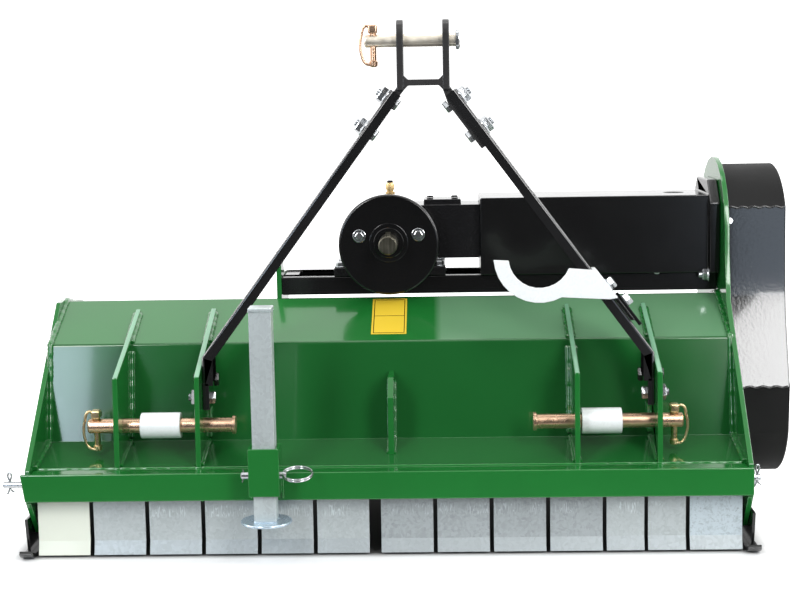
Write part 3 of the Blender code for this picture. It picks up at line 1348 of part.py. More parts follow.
def roller(black):
    """Rear roller with its axle ends, and the two brackets with their bolts."""
    inner = HALF - ROLLER_END

    def drum(bm):
        end = OUTER + BRACKET_T + AXLE_PAST
        profile = [(-end, 0), (-end, ROLLER_AXLE_R), (-inner, ROLLER_AXLE_R),
                   (-inner, ROLLER_R), (inner, ROLLER_R),
                   (inner, ROLLER_AXLE_R), (end, ROLLER_AXLE_R), (end, 0)]
        lathe(bm, "x", (ROLLER_Y, ROLLER_R), profile, SIDES_LARGE)

    def inside(bm):
        rod(bm, "x", (ROLLER_Y, ROLLER_R), ROLLER_R - ROLLER_WALL, -inner + ROLLER_WALL, inner - ROLLER_WALL)

    def drain(bm):
        rod(bm, "y", (0, ROLLER_R), DRAIN_R, ROLLER_Y, ROLLER_Y + FAR_THROUGH, 6)

    solid("roller", black, [drum], [inside, drain], origin=(0, ROLLER_Y, ROLLER_R))
    eye = (ROLLER_AXLE_R + RUN) / math.cos(math.pi / SIDES)
    for name, side in (("roller_bracket_left", -1), ("roller_bracket_right", 1)):
        face = side * (OUTER + GAP)
        outer = face + side * BRACKET_T

        def plate(bm):
            half = BRACKET_W / 2
            top = ROTOR_Z + BRACKET_TOP
            rear, front = REAR_Y - BRACKET_IN[0], REAR_Y - BRACKET_IN[1]
            outline = arc((ROLLER_Y, ROLLER_R), half, -150, 40, 8)
            outline += [(rear, top), (front, top), (front, ROTOR_Z - BRACKET_ELBOW)]
            prism(bm, "x", outline, *sorted((face, outer)))

        def bolts(bm):
            ends = sorted((side * (HALF - BOLT_HEAD_T - BOLT_PAST), outer + side * BOLT_PAST))
            bracket_bolts(bm, *ends, BOLT_R)

        def heads(bm):
            bracket_bolts(bm, *sorted((outer - side * OVERLAP, outer + side * BOLT_HEAD_T)), BOLT_HEAD_R, 6)
            bracket_bolts(bm, *sorted((side * HALF, side * (HALF - BOLT_HEAD_T))), BOLT_HEAD_R, 6)

        solid(name, black, [plate, bolts, heads],
              [lambda bm: rod(bm, "x", (ROLLER_Y, ROLLER_R), eye, face - THROUGH, face + THROUGH)])


def build():
    """Make every piece and set the origin under the middle of the object."""
    clear_scene()
    green = paint("green_paint", (0.018, 0.17, 0.03), 0.35)
    black = paint("black_paint", (0.006, 0.006, 0.007), 0.25)
    zinc = paint("galvanised_steel", (0.55, 0.58, 0.60), 0.45, 0.9)
    brass_zinc = paint("yellow_zinc", (0.75, 0.45, 0.22), 0.35, 0.9)
    steel = paint("bare_steel", (0.30, 0.29, 0.27), 0.45, 0.9)
    iron = paint("cast_iron", (0.05, 0.05, 0.05), 0.6, 0.5)
    rubber = paint("belt_rubber", (0.01, 0.01, 0.01), 0.8)

    hood_bodies(green)
    side_plates(green)
    lugs(green)
    flap_rod(zinc)
    flaps(zinc)
    hitch_pins(brass_zinc, zinc)
    braces(black)
    mast(black)
    stand(zinc)
    hook(zinc)
    subframe(black)
    gearbox(black)
    shafts(steel, iron)
    housing(black)
    belt_drive(iron, rubber, black)
    rotor(black, steel)
    bearings(black)
    roller(black)
    skids(black)

    machine = bpy.data.objects.new("machine", None)
    bpy.context.collection.objects.link(machine)
    machine.location = (-(LEFT_END + RIGHT_END) / 2, -(FRONT_END + BACK_END) / 2, 0)
    for thing in list(bpy.data.objects):
        if thing.type == "MESH":
            thing.parent = machine
            if len(thing.data.polygons) > 0:
                thing.data.shade_smooth()
                thing.data.set_sharp_from_angle(angle=math.radians(32))


build()
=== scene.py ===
"""Looks of the flail mulcher: painted hood and frame, zinc flaps and fasteners, gearbox, belt cover.

Metres, in the frame's own coordinates. Named places are worked out from the frame's pieces where they can be.
"""

import json
import math

import bmesh
import bpy
from mathutils import Matrix, Vector


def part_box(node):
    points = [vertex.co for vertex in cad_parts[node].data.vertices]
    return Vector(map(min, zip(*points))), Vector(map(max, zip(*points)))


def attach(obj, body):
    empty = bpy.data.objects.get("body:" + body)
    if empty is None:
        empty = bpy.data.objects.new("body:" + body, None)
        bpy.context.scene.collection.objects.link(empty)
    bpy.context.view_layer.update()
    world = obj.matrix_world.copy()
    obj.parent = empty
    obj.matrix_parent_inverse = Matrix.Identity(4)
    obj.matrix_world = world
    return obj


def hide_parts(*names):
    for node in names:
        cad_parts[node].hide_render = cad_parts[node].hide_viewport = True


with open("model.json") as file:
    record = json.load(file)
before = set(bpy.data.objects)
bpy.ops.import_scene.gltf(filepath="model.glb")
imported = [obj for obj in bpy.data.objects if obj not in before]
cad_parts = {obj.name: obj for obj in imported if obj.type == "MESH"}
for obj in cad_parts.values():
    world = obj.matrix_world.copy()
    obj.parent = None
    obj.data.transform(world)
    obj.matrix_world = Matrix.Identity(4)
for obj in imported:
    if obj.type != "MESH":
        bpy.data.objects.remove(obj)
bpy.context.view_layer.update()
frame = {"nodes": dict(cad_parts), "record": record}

RECORD = frame["record"]
BODY_OF = {node: body for body, nodes in RECORD["behaviour"]["bodies"].items() for node in nodes}
SLOT_OF = {entry["node"]: entry["material_slot"] for entry in RECORD["subparts"]}
JOINTS = {joint["name"]: joint for joint in RECORD["behaviour"]["joints"]}
ROOT = "machine_frame"
LUGS = ("hitch_lug_left_outer", "hitch_lug_left_inner", "hitch_lug_right_inner", "hitch_lug_right_outer")

# Middle of the working width, half of it, and the front of the rail
LEFT_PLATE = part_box("side_plate_left")
RIGHT_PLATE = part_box("side_plate_right")
MID_X = (LEFT_PLATE[0][0] + RIGHT_PLATE[1][0]) / 2
HALF = (RIGHT_PLATE[0][0] - LEFT_PLATE[1][0]) / 2
LUG_FRONT = 0.033                   # lug's foot behind the front of the rail
FRONT_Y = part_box(LUGS[0])[0][1] - LUG_FRONT
ROTOR_Y, ROTOR_Z = JOINTS["rotor_spin"]["pos_m"][1:]
AXIS_Y, AXIS_Z = JOINTS["cross_shaft_spin"]["pos_m"][1:]

# Rail and hood sheet, in Y from the front of the rail and Z
RAIL = {"low": 0.0885, "top": 0.130, "depth": 0.035, "wall": 0.006}
SHEET = 0.005
HOOD_LINE = ((0.029, 0.128), (0.130, 0.1510), (0.1603, 0.2969), (0.283, 0.3500), (0.400, 0.325),
             (0.480, 0.240), (0.510, 0.170))
FOLD_RADII = (0.0006, 0.006, 0.010, 0.010, 0.010)
SHEEN_FROM, SHEEN_TO = (0.070, 0.082), (0.515, 0.530)    # painted sheen on the upper panel: a lighter colour standing in for a reflection, in X from the middle

# Hitch frame, in X from the middle, Y from the front of the rail, and Z
LOWER_PIN = (0.078, 0.186)          # middle of both lower pins in Y and Z
MAST_X, FRAME_Y = 0.0605, 0.090
MAST_HALF, MAST_BEND, MAST_TOP = 0.0335, 0.684, 0.782
MAST_MID, FRAME_MID = MID_X + MAST_X, FRONT_Y + FRAME_Y
TOP_PIN = (FRAME_MID, 0.752)
BRACE_FOOT, BRACE_BEND, BRACE_W, BRACE_D = 0.3367, 0.287, 0.016, 0.040
BRACE_BOLTS = (0.024, 0.079)        # down the slope from its start
LEG_INNER = {-1: -0.0058, 1: -0.0140}    # inner face of the mast's legs, off the braces' middle lines
HOOK_BOLTS = ((0.378, 0.0135), (0.412, 0.0183))        # down the brace, and off its middle line
HOOK_TAB = 0.397                    # down the brace: the hook's black tab starts here
STRAP = (0.398, 0.452)              # down the brace
LUG_BOLTS = (0.226, 0.254)          # heights

# Stand, front flaps and subframe
STAND_X, STAND_Y, STAND_PIN_Z = -0.175, -0.0223, 0.132
SOCKET_INNER, SOCKET_WALL = 0.0168, 0.0055
FLAP_COUNT = 13
DULL_FLAPS = (7, 8, 9, 10)
FLAP_SLIM = 0.968                   # leaves the dark gaps between the flaps
FLAP_LIP = 0.0203                   # height of the flaps' lips
RUB_LOW, RUB_HIGH = 0.057, 0.078    # the flaps' band of rub marks
TUBE_LOW, TUBE_DROP = 0.359, 0.0048     # bottom of the subframe's tubes, and how far it goes down

# Belt cover: its two seams, its foot, and how far its front leans out in degrees by height
COVER_FOLD, COVER_FOOT = 0.4905, 0.214
COVER_LEAN = ((0.50, 0.3), (0.45, 1.2), (0.40, 3.5), (0.35, 8.0), (0.32, 12.5), (0.29, 16.0), (0.20, 18.0))
FOOT_BULGE = 0.012                  # foot's front further out

# Camera, floor and room
CAMERA_AT = (0.0542, -2.5688, 0.6851)
CAMERA_YAW, CAMERA_PITCH, CAMERA_ROLL = -1.554, 7.575, -0.965     # degrees: towards +X, down, and over
LENS, SENSOR = 72.12, 36.0
FLOOR_REACH = 14.0
FLOOR_NEAR = (-0.62, -0.34)         # the floor darkens between these Y for reflections and bounced light
SHADE = 0.88                        # painted shadow: how dark the floor's colour is under the machine, between the edges below
SHADE_X = ((-0.59, -0.57), (0.500, 0.525))
SHADE_Y = ((-0.285, -0.26), (0.20, 0.29))
CLEAR_X = ((-0.615, -0.590), (0.525, 0.56))            # outside these edges the camera sees a white floor
CLEAR_Y = ((-0.50, -0.36), (0.32, 0.45))
WALL_LOW, WALL_HIGH, CEILING = 1.9, 1.45, 0.6
DARK_SIDE = 0.03                    # the room behind the camera
COOL = (0.80, 0.94, 1.12)
LOW_FRONT = (((1.20, -2.2, 0.44), (0.62, 0.62), 1.8), ((-1.17, -2.2, 0.74), (0.42, 0.62), 7.0))


def at(x, y, z):
    """Point of the frame from X off the middle, Y behind the front of the rail, and height."""
    return Vector((MID_X + x, FRONT_Y + y, z))


# Working with Blender's operators

def deselect():
    """Nothing selected, in object mode."""
    if bpy.context.object and bpy.context.object.mode != "OBJECT":
        bpy.ops.object.mode_set(mode="OBJECT")
    bpy.ops.object.select_all(action="DESELECT")


def pick(piece):
    """Only this piece selected and active."""
    deselect()
    piece.select_set(True)
    bpy.context.view_layer.objects.active = piece


def edit(piece):
    """Edit mode on one piece with everything selected."""
    pick(piece)
    bpy.ops.object.mode_set(mode="EDIT")
    bpy.ops.mesh.select_mode(type="FACE")
    bpy.ops.mesh.select_all(action="SELECT")


def done():
    """Back to object mode; returns the active piece."""
    bpy.ops.object.mode_set(mode="OBJECT")
    return bpy.context.active_object


def outwards():
    """All faces turned outwards, and back to object mode; returns the active piece."""
    bpy.ops.mesh.select_all(action="SELECT")
    bpy.ops.mesh.normals_make_consistent(inside=False)
    return done()


def modify(piece, kind, **settings):
    """One modifier with its settings, applied."""
    pick(piece)
    change = piece.modifiers.new(kind.lower(), kind)
    for name, value in settings.items():
        setattr(change, name, value)
    bpy.ops.object.modifier_apply(modifier=change.name)


def place(axis, u, v, along):
    """Point with two coordinates across an axis and one along it."""
    if axis == "x":
        return Vector((along, u, v))
    if axis == "y":
        return Vector((u, along, v))
    return Vector((u, v, along))


def finish(piece, name, material, slot=None, replaces=None):
    """Name, material and body of a piece; one that replaces a node takes that node's body. The slot is worked
    out but not used.
    """
    piece.name = name
    piece.data.name = name
    piece.data.materials.clear()
    piece.data.materials.append(material)
    body = BODY_OF[replaces] if replaces else ROOT
    slot = SLOT_OF[replaces] if replaces else slot
    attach(piece, body)
    if replaces:
        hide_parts(replaces)
    return piece


def second_finish(piece, material, chosen):
    """Another material on the faces that pass a test."""
    piece.data.materials.append(material)
    for face in piece.data.polygons:
        if chosen(face):
            face.material_index = len(piece.data.materials) - 1


def flat_shading(piece, angle=32):
    """Smooth shading up to an angle, with the large faces kept flat."""
    pick(piece)
    bpy.ops.object.shade_smooth_by_angle(angle=math.radians(angle))
    modify(piece, "WEIGHTED_NORMAL", keep_sharp=True)
    return piece


def soften(piece, width, segments=2, angle=32):
    """Rounded edges, and smooth shading up to an angle."""
    modify(piece, "BEVEL", width=width, segments=segments, use_clamp_overlap=False, miter_outer="MITER_ARC",
           limit_method="ANGLE", angle_limit=math.radians(angle))
    return flat_shading(piece, angle)


def dress(node, material, width=0.0008, segments=2, angle=32):
    """Copy of a frame node with its triangles merged into plain faces and its edges rounded."""
    pick(frame["nodes"][node])
    bpy.ops.object.duplicate()
    edit(bpy.context.active_object)
    bpy.ops.mesh.remove_doubles(threshold=0.00001)
    bpy.ops.mesh.dissolve_limited(angle_limit=math.radians(0.5))
    return finish(soften(done(), width, segments, angle), node + "_finished", material, replaces=node)


def polygon(points):
    """Flat face through points."""
    deselect()
    bpy.ops.mesh.primitive_circle_add(vertices=len(points), fill_type="NGON")
    piece = bpy.context.active_object
    for vert, point in zip(piece.data.vertices, points):
        vert.co = point
    return piece


def plate(outline, axis, start, end):
    """Plate of an outline across an axis, extruded from start to end along it."""
    edit(polygon([place(axis, u, v, start) for u, v in outline]))
    bpy.ops.mesh.extrude_region_move(TRANSFORM_OT_translate={"value": place(axis, 0, 0, end - start)})
    return outwards()


def block(x, y, z):
    """Box between two values on each axis."""
    return plate(((x[0], y[0]), (x[1], y[0]), (x[1], y[1]), (x[0], y[1])), "z", z[0], z[1])


def arc(centre, radius, first, last, steps):
    """Points of an arc between two angles in degrees."""
    angles = [math.radians(first + (last - first) * i / steps) for i in range(steps + 1)]
    return [(centre[0] + radius * math.cos(a), centre[1] + radius * math.sin(a)) for a in angles]


def turned(profile, sides=32, axis="z", centre=(0, 0), turn=0.0, base=0.0):
    """Round solid: rings of (place along the axis from a base, radius), each extruded from the last."""
    start, radius = base + profile[0][0], profile[0][1]
    ring = arc(centre, radius, turn, turn + 360, sides)[:-1]
    edit(polygon([place(axis, u, v, start) for u, v in ring]))
    for along, next_radius in profile[1:]:
        end = base + along
        bpy.ops.mesh.extrude_region_move(TRANSFORM_OT_translate={"value": place(axis, 0, 0, end - start)})
        factor = next_radius / radius
        if abs(factor - 1) > 1e-6:
            bpy.ops.transform.resize(value=(factor,) * 3, center_override=place(axis, *centre, end))
        start, radius = end, next_radius
    return flat_shading(outwards())


def join(pieces):
    """Several pieces as one mesh."""
    deselect()
    for piece in pieces:
        piece.select_set(True)
    bpy.context.view_layer.objects.active = pieces[0]
    if len(pieces) > 1:
        bpy.ops.object.join()
    return bpy.context.active_object


def round_curve(name, kind, count, radius, resolution):
    """Curve of a round section with one spline of so many points; returns both."""
    curve = bpy.data.curves.new(name, "CURVE")
    curve.dimensions = "3D"
    curve.bevel_depth = radius
    curve.bevel_resolution = resolution
    curve.use_fill_caps = True
    spline = curve.splines.new(kind)
    (spline.bezier_points if kind == "BEZIER" else spline.points).add(count - 1)
    return curve, spline


def curve_mesh(curve):
    """The curve's skin as a smooth mesh."""
    piece = bpy.data.objects.new(curve.name, curve)
    bpy.context.collection.objects.link(piece)
    pick(piece)
    bpy.ops.object.convert(target="MESH")
    bpy.ops.object.shade_smooth()
    return bpy.context.active_object


def bead(points, radius, step=0.0035):
    """Weld bead: a tube along a line of points, whose thickness ripples as the puddle did."""
    path = [Vector(points[0])]
    for a, b in zip(points, points[1:]):
        a, b = Vector(a), Vector(b)
        count = max(1, round((b - a).length / step))
        path += [a.lerp(b, (i + 1) / count) for i in range(count)]
    curve, spline = round_curve("bead", "POLY", len(path), radius, 1)
    for i, (point, spot) in enumerate(zip(spline.points, path)):
        point.co = (*spot, 1)
        point.radius = (1.0 if i % 2 else 0.84) * (1 + 0.12 * math.sin(i * 0.9) * math.sin(i * 0.37))
    return curve_mesh(curve)


def wire(points, radius, closed=False, steps=8):
    """Round wire bent smoothly through points."""
    curve, spline = round_curve("wire", "BEZIER", len(points), radius, 2)
    curve.resolution_u = steps
    spline.use_cyclic_u = closed
    for knot, point in zip(spline.bezier_points, points):
        knot.co = point
        knot.handle_left_type = knot.handle_right_type = "AUTO"
    return curve_mesh(curve)


# Shader trees: each of these places one node and gives back the socket that it puts out

def node(tree, kind, inputs, out=0, **settings):
    """Any node with its settings; its inputs are plain values, or sockets to link."""
    placed = tree.nodes.new("ShaderNode" + kind)
    for name, value in settings.items():
        setattr(placed, name, value)
    for label, value in inputs.items():
        if isinstance(value, bpy.types.NodeSocket):
            tree.links.new(value, placed.inputs[label])
        else:
            placed.inputs[label].default_value = value
    return placed.outputs[out]


def noise(tree, vector, scale, detail=3.0, rough=0.5):
    inputs = {"Vector": vector, "Scale": scale, "Detail": detail, "Roughness": rough}
    return node(tree, "TexNoise", inputs, "Fac")


def remap(tree, value, low, high, out_low=0.0, out_high=1.0):
    ends = {"From Min": low, "From Max": high, "To Min": out_low, "To Max": out_high}
    return node(tree, "MapRange", {"Value": value, **ends}, "Result")


def combine(tree, kind, *values):
    """One kind of arithmetic through all the values in turn."""
    total = values[0]
    for value in values[1:]:
        total = node(tree, "Math", {0: total, 1: value}, operation=kind)
    return total


def window(tree, value, rise, fall):
    """1 between two soft edges and 0 outside."""
    return combine(tree, "MINIMUM", remap(tree, value, *rise), remap(tree, value, *fall, 1.0, 0.0))


def axes(tree, vector):
    """The outputs X, Y and Z of a vector."""
    return node(tree, "SeparateXYZ", {0: vector}).node.outputs


# Shader groups shared by the finishes

def group(name, numbers, build):
    """Shader group that reads a vector and some numbers; build gives each output's socket by its name."""
    tree = bpy.data.node_groups.new(name, "ShaderNodeTree")
    tree.interface.new_socket("Vector", in_out="INPUT", socket_type="NodeSocketVector")
    for label, value in numbers.items():
        socket = tree.interface.new_socket(label, in_out="INPUT", socket_type="NodeSocketFloat")
        socket.default_value = value
    results = build(tree, *tree.nodes.new("NodeGroupInput").outputs[:len(numbers) + 1])
    for label in results:
        tree.interface.new_socket(label, in_out="OUTPUT", socket_type="NodeSocketFloat")
    ends = tree.nodes.new("NodeGroupOutput").inputs
    for label, socket in results.items():
        tree.links.new(socket, ends[label])
    return tree


def mottling(tree, vector, scale, low, high):
    """Slow change of shade over a surface, between two levels."""
    return {"Level": remap(tree, noise(tree, vector, scale, 4.0, 0.55), 0.3, 0.7, low, high)}


def orange_peel(tree, vector, scale, specks):
    """Orange peel of sprayed paint, with a few specks of dust under it."""
    cells = node(tree, "TexVoronoi", {"Vector": vector, "Scale": 90.0}, "Distance")
    dust = combine(tree, "MULTIPLY", remap(tree, cells, 0.03, 0.09, 1.0, 0.0), specks)
    return {"Height": combine(tree, "ADD", noise(tree, vector, scale, 1.5, 0.4), dust)}


def crystals(tree, vector, scale, grain):
    """Crystals of hot zinc: flat cells of differing shade, with a fine grain over them."""
    warp = node(tree, "TexNoise", {"Vector": vector, "Scale": 40.0}, "Color")
    shrunk = node(tree, "VectorMath", {0: warp, "Scale": 0.02}, operation="SCALE")
    bent = node(tree, "VectorMath", {0: vector, 1: shrunk}, operation="ADD")
    cells = node(tree, "TexVoronoi", {"Vector": bent, "Scale": scale}, "Color")
    grey = node(tree, "RGBToBW", {"Color": cells})
    fine = noise(tree, vector, 420.0, 4.0, 0.7)
    return {"Shade": combine(tree, "ADD", grey, combine(tree, "MULTIPLY", fine, grain)),
            "Height": combine(tree, "ADD", combine(tree, "MULTIPLY", grey, 0.4), fine)}


def scratches(tree, vector, across, along):
    """Long fine scratches and rubbed streaks, mostly along one direction."""
    spread = node(tree, "CombineXYZ", {0: across, 1: across, 2: along})
    stretched = node(tree, "VectorMath", {0: vector, 1: spread}, operation="MULTIPLY")
    return {"Mask": remap(tree, noise(tree, stretched, 1.0, 5.0, 0.65), 0.42, 0.72)}


def rub_marks(tree, vector, low, high):
    """Slanted rub marks in a band of heights."""
    slant = (0.0, math.radians(32), 0.0)
    slanted = node(tree, "Mapping", {"Vector": vector, "Rotation": slant, "Scale": (300.0, 8.0, 38.0)})
    off = combine(tree, "SUBTRACT", noise(tree, slanted, 1.0, 1.0, 0.4), 0.5)
    marks = remap(tree, node(tree, "Math", {0: off}, operation="ABSOLUTE"), 0.012, 0.040, 1.0, 0.0)
    height = axes(tree, vector)["Z"]
    above, below = combine(tree, "SUBTRACT", height, low), combine(tree, "SUBTRACT", high, height)
    band = remap(tree, combine(tree, "MINIMUM", above, below), 0.0, 0.004)
    patch = remap(tree, noise(tree, vector, 28.0, 1.0), 0.42, 0.58)
    return {"Mask": combine(tree, "MULTIPLY", marks, band, patch)}


MOTTLE = group("mottle", {"Scale": 6.0, "Low": 0.8, "High": 1.2}, mottling)
RUBS = group("rubs", {"Low": 0.0, "High": 1.0}, rub_marks)
PEEL = group("peel", {"Scale": 260.0, "Specks": 0.5}, orange_peel)
SPANGLE = group("spangle", {"Scale": 90.0, "Grain": 0.4}, crystals)
SCUFFS = group("scuffs", {"Across": 160.0, "Along": 8.0}, scratches)


# Finishes

class Finish:
    """Material under construction: its Principled shader and the object coordinates that its groups read."""

    def __init__(self, name, colour, roughness, metallic=0.0, coat=0.0, coat_roughness=0.03, specular=0.5):
        self.material = bpy.data.materials.new(name)
        self.material.use_nodes = True
        self.tree = self.material.node_tree
        self.shader = self.tree.nodes["Principled BSDF"].inputs
        for label, value in (("Base Color", (*colour, 1.0)), ("Roughness", roughness), ("Metallic", metallic),
                             ("Coat Weight", coat), ("Coat Roughness", coat_roughness),
                             ("Specular IOR Level", specular)):
            self.shader[label].default_value = value
        self.where = node(self.tree, "TexCoord", {}, "Object")

    def use(self, tree, **values):
        """Place a shader group with its own values; returns its outputs."""
        return node(self.tree, "Group", {"Vector": self.where, **values}, node_tree=tree).node.outputs

    def mix(self, factor, low, high):
        """From one colour to another by a factor; each is a plain colour or a socket."""
        low, high = (c if isinstance(c, bpy.types.NodeSocket) else (*c, 1.0) for c in (low, high))
        return node(self.tree, "Mix", {0: factor, 6: low, 7: high}, 2, data_type="RGBA")

    def feed(self, label, socket):
        """Link a socket to one of the shader's inputs."""
        self.tree.links.new(socket, self.shader[label])

    def bump(self, height, distance):
        """Unevenness of the surface from a height."""
        inputs = {"Strength": 1.0, "Distance": distance, "Height": height}
        self.feed("Normal", node(self.tree, "Bump", inputs))


def shades(colour, low, high):
    """Two tints of one colour."""
    return tuple(c * low for c in colour), tuple(min(1.0, c * high) for c in colour)


def enamel(name, colour, roughness, spread=(0.85, 1.15), peel=0.00006, coat=0.6, haze=0.04, specular=0.5):
    """Gloss paint sprayed on steel: a slow change of shade, orange peel and specks of dust under it."""
    paint = Finish(name, colour, roughness, coat=coat, coat_roughness=haze, specular=specular)
    slow = paint.use(MOTTLE, Scale=5.0, Low=0.0, High=1.0)["Level"]
    paint.feed("Base Color", paint.mix(slow, *shades(colour, *spread)))
    worn = paint.use(MOTTLE, Scale=22.0, Low=roughness * 0.92, High=roughness * 1.08)["Level"]
    paint.feed("Roughness", worn)
    paint.bump(paint.use(PEEL, Scale=230.0, Specks=0.6)["Height"], peel)
    return paint.material


def upper_enamel(name, colour, painted_sheen, roughness):
    """Paint of the upper panel, with a painted sheen on its right half: a lighter colour standing in for a
    reflection.
    """
    paint = Finish(name, colour, roughness, coat=0.5, coat_roughness=0.05)
    slow = paint.use(MOTTLE, Scale=4.0, Low=0.0, High=1.0)["Level"]
    edges = [[MID_X + x for x in edge] for edge in (SHEEN_FROM, SHEEN_TO)]
    # painted sheen: between these edges of X the upper panel turns to the lighter colour, as if it reflected
    # the room
    haze = combine(paint.tree, "MULTIPLY", window(paint.tree, axes(paint.tree, paint.where)["X"], *edges),
                   remap(paint.tree, slow, 0.0, 1.0, 0.92, 1.0))
    paint.feed("Base Color", paint.mix(haze, paint.mix(slow, *shades(colour, 0.95, 1.05)), painted_sheen))
    paint.bump(paint.use(PEEL, Scale=230.0, Specks=0.6)["Height"], 0.00002)
    return paint.material


def zinc(name, colour, roughness, cell=260.0, grain=0.6, spread=(0.88, 1.08), metallic=0.4, bump=0.00004,
         streak=0.25, rubbed=0.0):
    """Zinc coat: crystals with a grain over them, pale runs down the sheet, and rub marks if wanted."""
    coat = Finish(name, colour, roughness, metallic)
    tree = coat.tree
    crystal = coat.use(SPANGLE, Scale=cell, Grain=grain)
    run = combine(tree, "MULTIPLY", coat.use(SCUFFS, Across=90.0, Along=9.0)["Mask"], streak)
    slow = coat.use(MOTTLE, Scale=9.0, Low=-0.15, High=0.15)["Level"]
    shade = combine(tree, "ADD", remap(tree, crystal["Shade"], 0.25, 1.15), run, slow)
    sheet = coat.mix(shade, *shades(colour, *spread))
    if rubbed:
        marks = combine(tree, "MULTIPLY", coat.use(RUBS, Low=RUB_LOW, High=RUB_HIGH)["Mask"], rubbed)
        sheet = coat.mix(marks, sheet, tuple(c * 1.5 for c in colour))
    coat.feed("Base Color", sheet)
    coat.feed("Roughness", remap(tree, crystal["Shade"], 0.2, 1.2, roughness * 1.2, roughness * 0.8))
    coat.bump(crystal["Height"], bump)
    return coat.material


def machined(name, colour, roughness, streak, metallic=0.9, bump=0.00004):
    """Bare or passivated metal with fine scratches."""
    metal = Finish(name, colour, roughness, metallic)
    scratch = metal.use(SCUFFS, Across=220.0, Along=18.0)["Mask"]
    metal.feed("Base Color", metal.mix(scratch, colour, streak))
    worn = metal.use(MOTTLE, Scale=60.0, Low=roughness * 0.75, High=roughness * 1.3)["Level"]
    metal.feed("Roughness", worn)
    metal.bump(scratch, bump)
    return metal.material


LEAF = (0.011, 0.150, 0.025)
# darker copy of the frame's green (LEAF): painted shade on the hood sheet's panels
GREEN_SHADED = enamel("green_enamel", (0.010, 0.108, 0.021), 0.16, (0.94, 1.06), 0.00002, 0.5, 0.05)
GREEN_WELD = enamel("green_enamel_welds", LEAF, 0.10, (0.9, 1.1), 0.00030, 1.0, 0.02)
# pale green for the lugs' slanted edges that face up and forward: painted highlight
GREEN_HIGHLIGHT = enamel("green_enamel_highlight", (0.17, 0.38, 0.23), 0.24, (0.80, 1.16), 0.00004, 0.6, 0.06)
GREEN_PLATE = enamel("green_enamel_plates", LEAF, 0.16, (0.92, 1.08), 0.00004, 0.6, 0.04)
# upper panel's paint; its second colour is the painted sheen
GREEN_UPPER = upper_enamel("green_enamel_upper", LEAF, (0.120, 0.265, 0.140), 0.18)
BLACK = enamel("black_enamel", (0.0035, 0.0035, 0.0037), 0.20, (0.7, 1.4), 0.00003, 0.35, 0.09)
BLACK_GLOSS = enamel("black_enamel_gloss", (0.010, 0.010, 0.0105), 0.10, (0.7, 1.4), 0.00002, 0.9, 0.03)
BLACK_SATIN = enamel("black_enamel_satin", (0.022, 0.021, 0.021), 0.34, (0.8, 1.3), 0.00003, 0.1, 0.2)
BLACK_MATT = enamel("black_enamel_matt", (0.006, 0.006, 0.006), 0.60, (0.8, 1.3), 0.00008, 0.0, specular=0.22)
BLACK_PEEL = enamel("black_enamel_peel", (0.004, 0.004, 0.0045), 0.14, (0.7, 1.4), 0.00011, 0.9, 0.05)
BLACK_CAST = enamel("black_enamel_cast", (0.006, 0.0058, 0.0066), 0.24, (0.6, 1.6), 0.00060, 0.4)
IRON = enamel("turned_iron", (0.05, 0.05, 0.05), 0.5, (0.7, 1.4), 0.0002, 0.0)
RUBBER = enamel("belt_rubber", (0.010, 0.010, 0.010), 0.75, (0.8, 1.3), 0.0002, 0.0)
CREAM = enamel("cream_primer", (0.66, 0.69, 0.60), 0.42, (0.96, 1.04), 0.00004, 0.1)
YELLOW = enamel("label_yellow", (0.80, 0.56, 0.04), 0.35, (0.95, 1.04), 0.00003, 0.2)
ZINC_FLAP = zinc("zinc_sheet", (0.43, 0.47, 0.475), 0.42, rubbed=0.9)
ZINC_DULL = zinc("zinc_sheet_dull", (0.33, 0.36, 0.37), 0.46, spread=(0.80, 1.12), rubbed=1.0)
ZINC_COARSE = zinc("zinc_sheet_coarse", (0.40, 0.46, 0.49), 0.46, 330.0, 1.3, (0.55, 1.20), 0.3)
ZINC_TUBE = zinc("zinc_tube", (0.60, 0.66, 0.66), 0.36, 200.0, 0.3, (0.86, 1.08), 0.45, 0.00003, 0.5)
ZINC_PALE = zinc("zinc_pale", (0.94, 0.97, 0.97), 0.34, 300.0, 0.3, (0.95, 1.03), 0.10, 0.00003, 0.1)
# the flaps' lips, in their own shade of zinc: painted highlight of the light the lip catches
ZINC_LIP_HIGHLIGHT = zinc("zinc_lip_highlight", (0.42, 0.46, 0.47), 0.40, 200.0, 0.4)
ZINC_BRIGHT = machined("zinc_bright", (0.60, 0.62, 0.64), 0.20, (0.44, 0.46, 0.48), 0.95)
ZINC_BLUE = machined("zinc_blue", (0.62, 0.74, 0.84), 0.24, (0.42, 0.54, 0.66), 0.7)
PASSIVATED = machined("yellow_passivated", (0.76, 0.59, 0.32), 0.28, (0.76, 0.60, 0.36), 0.96, 0.00002)
COPPERY = machined("copper_passivated", (0.78, 0.50, 0.33), 0.28, (0.76, 0.53, 0.38), 0.96, 0.00002)
PALE_PASSIVATED = machined("pale_passivated", (0.92, 0.84, 0.70), 0.36, (0.94, 0.88, 0.76), 0.80, 0.00002)
BRASS = machined("brass", (0.70, 0.50, 0.24), 0.30, (0.55, 0.38, 0.16), 0.8)
STUB = machined("stub_steel", (0.075, 0.070, 0.052), 0.36, (0.15, 0.14, 0.11), 0.8)
STEEL = machined("forged_steel", (0.16, 0.155, 0.15), 0.45, (0.30, 0.29, 0.28))


# Fasteners: modelled once on the Z axis from the origin, then copied to their places

def hex_head(across, height, washer=0.0, washer_radius=0.0):
    """Hexagon bolt head with its chamfer, on a washer."""
    corner = across / math.sqrt(3)
    parts = [turned(((-0.0002, corner * 0.94), (height * 0.12, corner), (height * 0.80, corner),
                     (height, corner * 0.86)), 6, base=washer)]
    if washer:
        parts.append(turned(((0, washer_radius * 0.97), (washer * 0.3, washer_radius),
                             (washer * 0.8, washer_radius), (washer, washer_radius * 0.96)), 28))
    return join(parts)


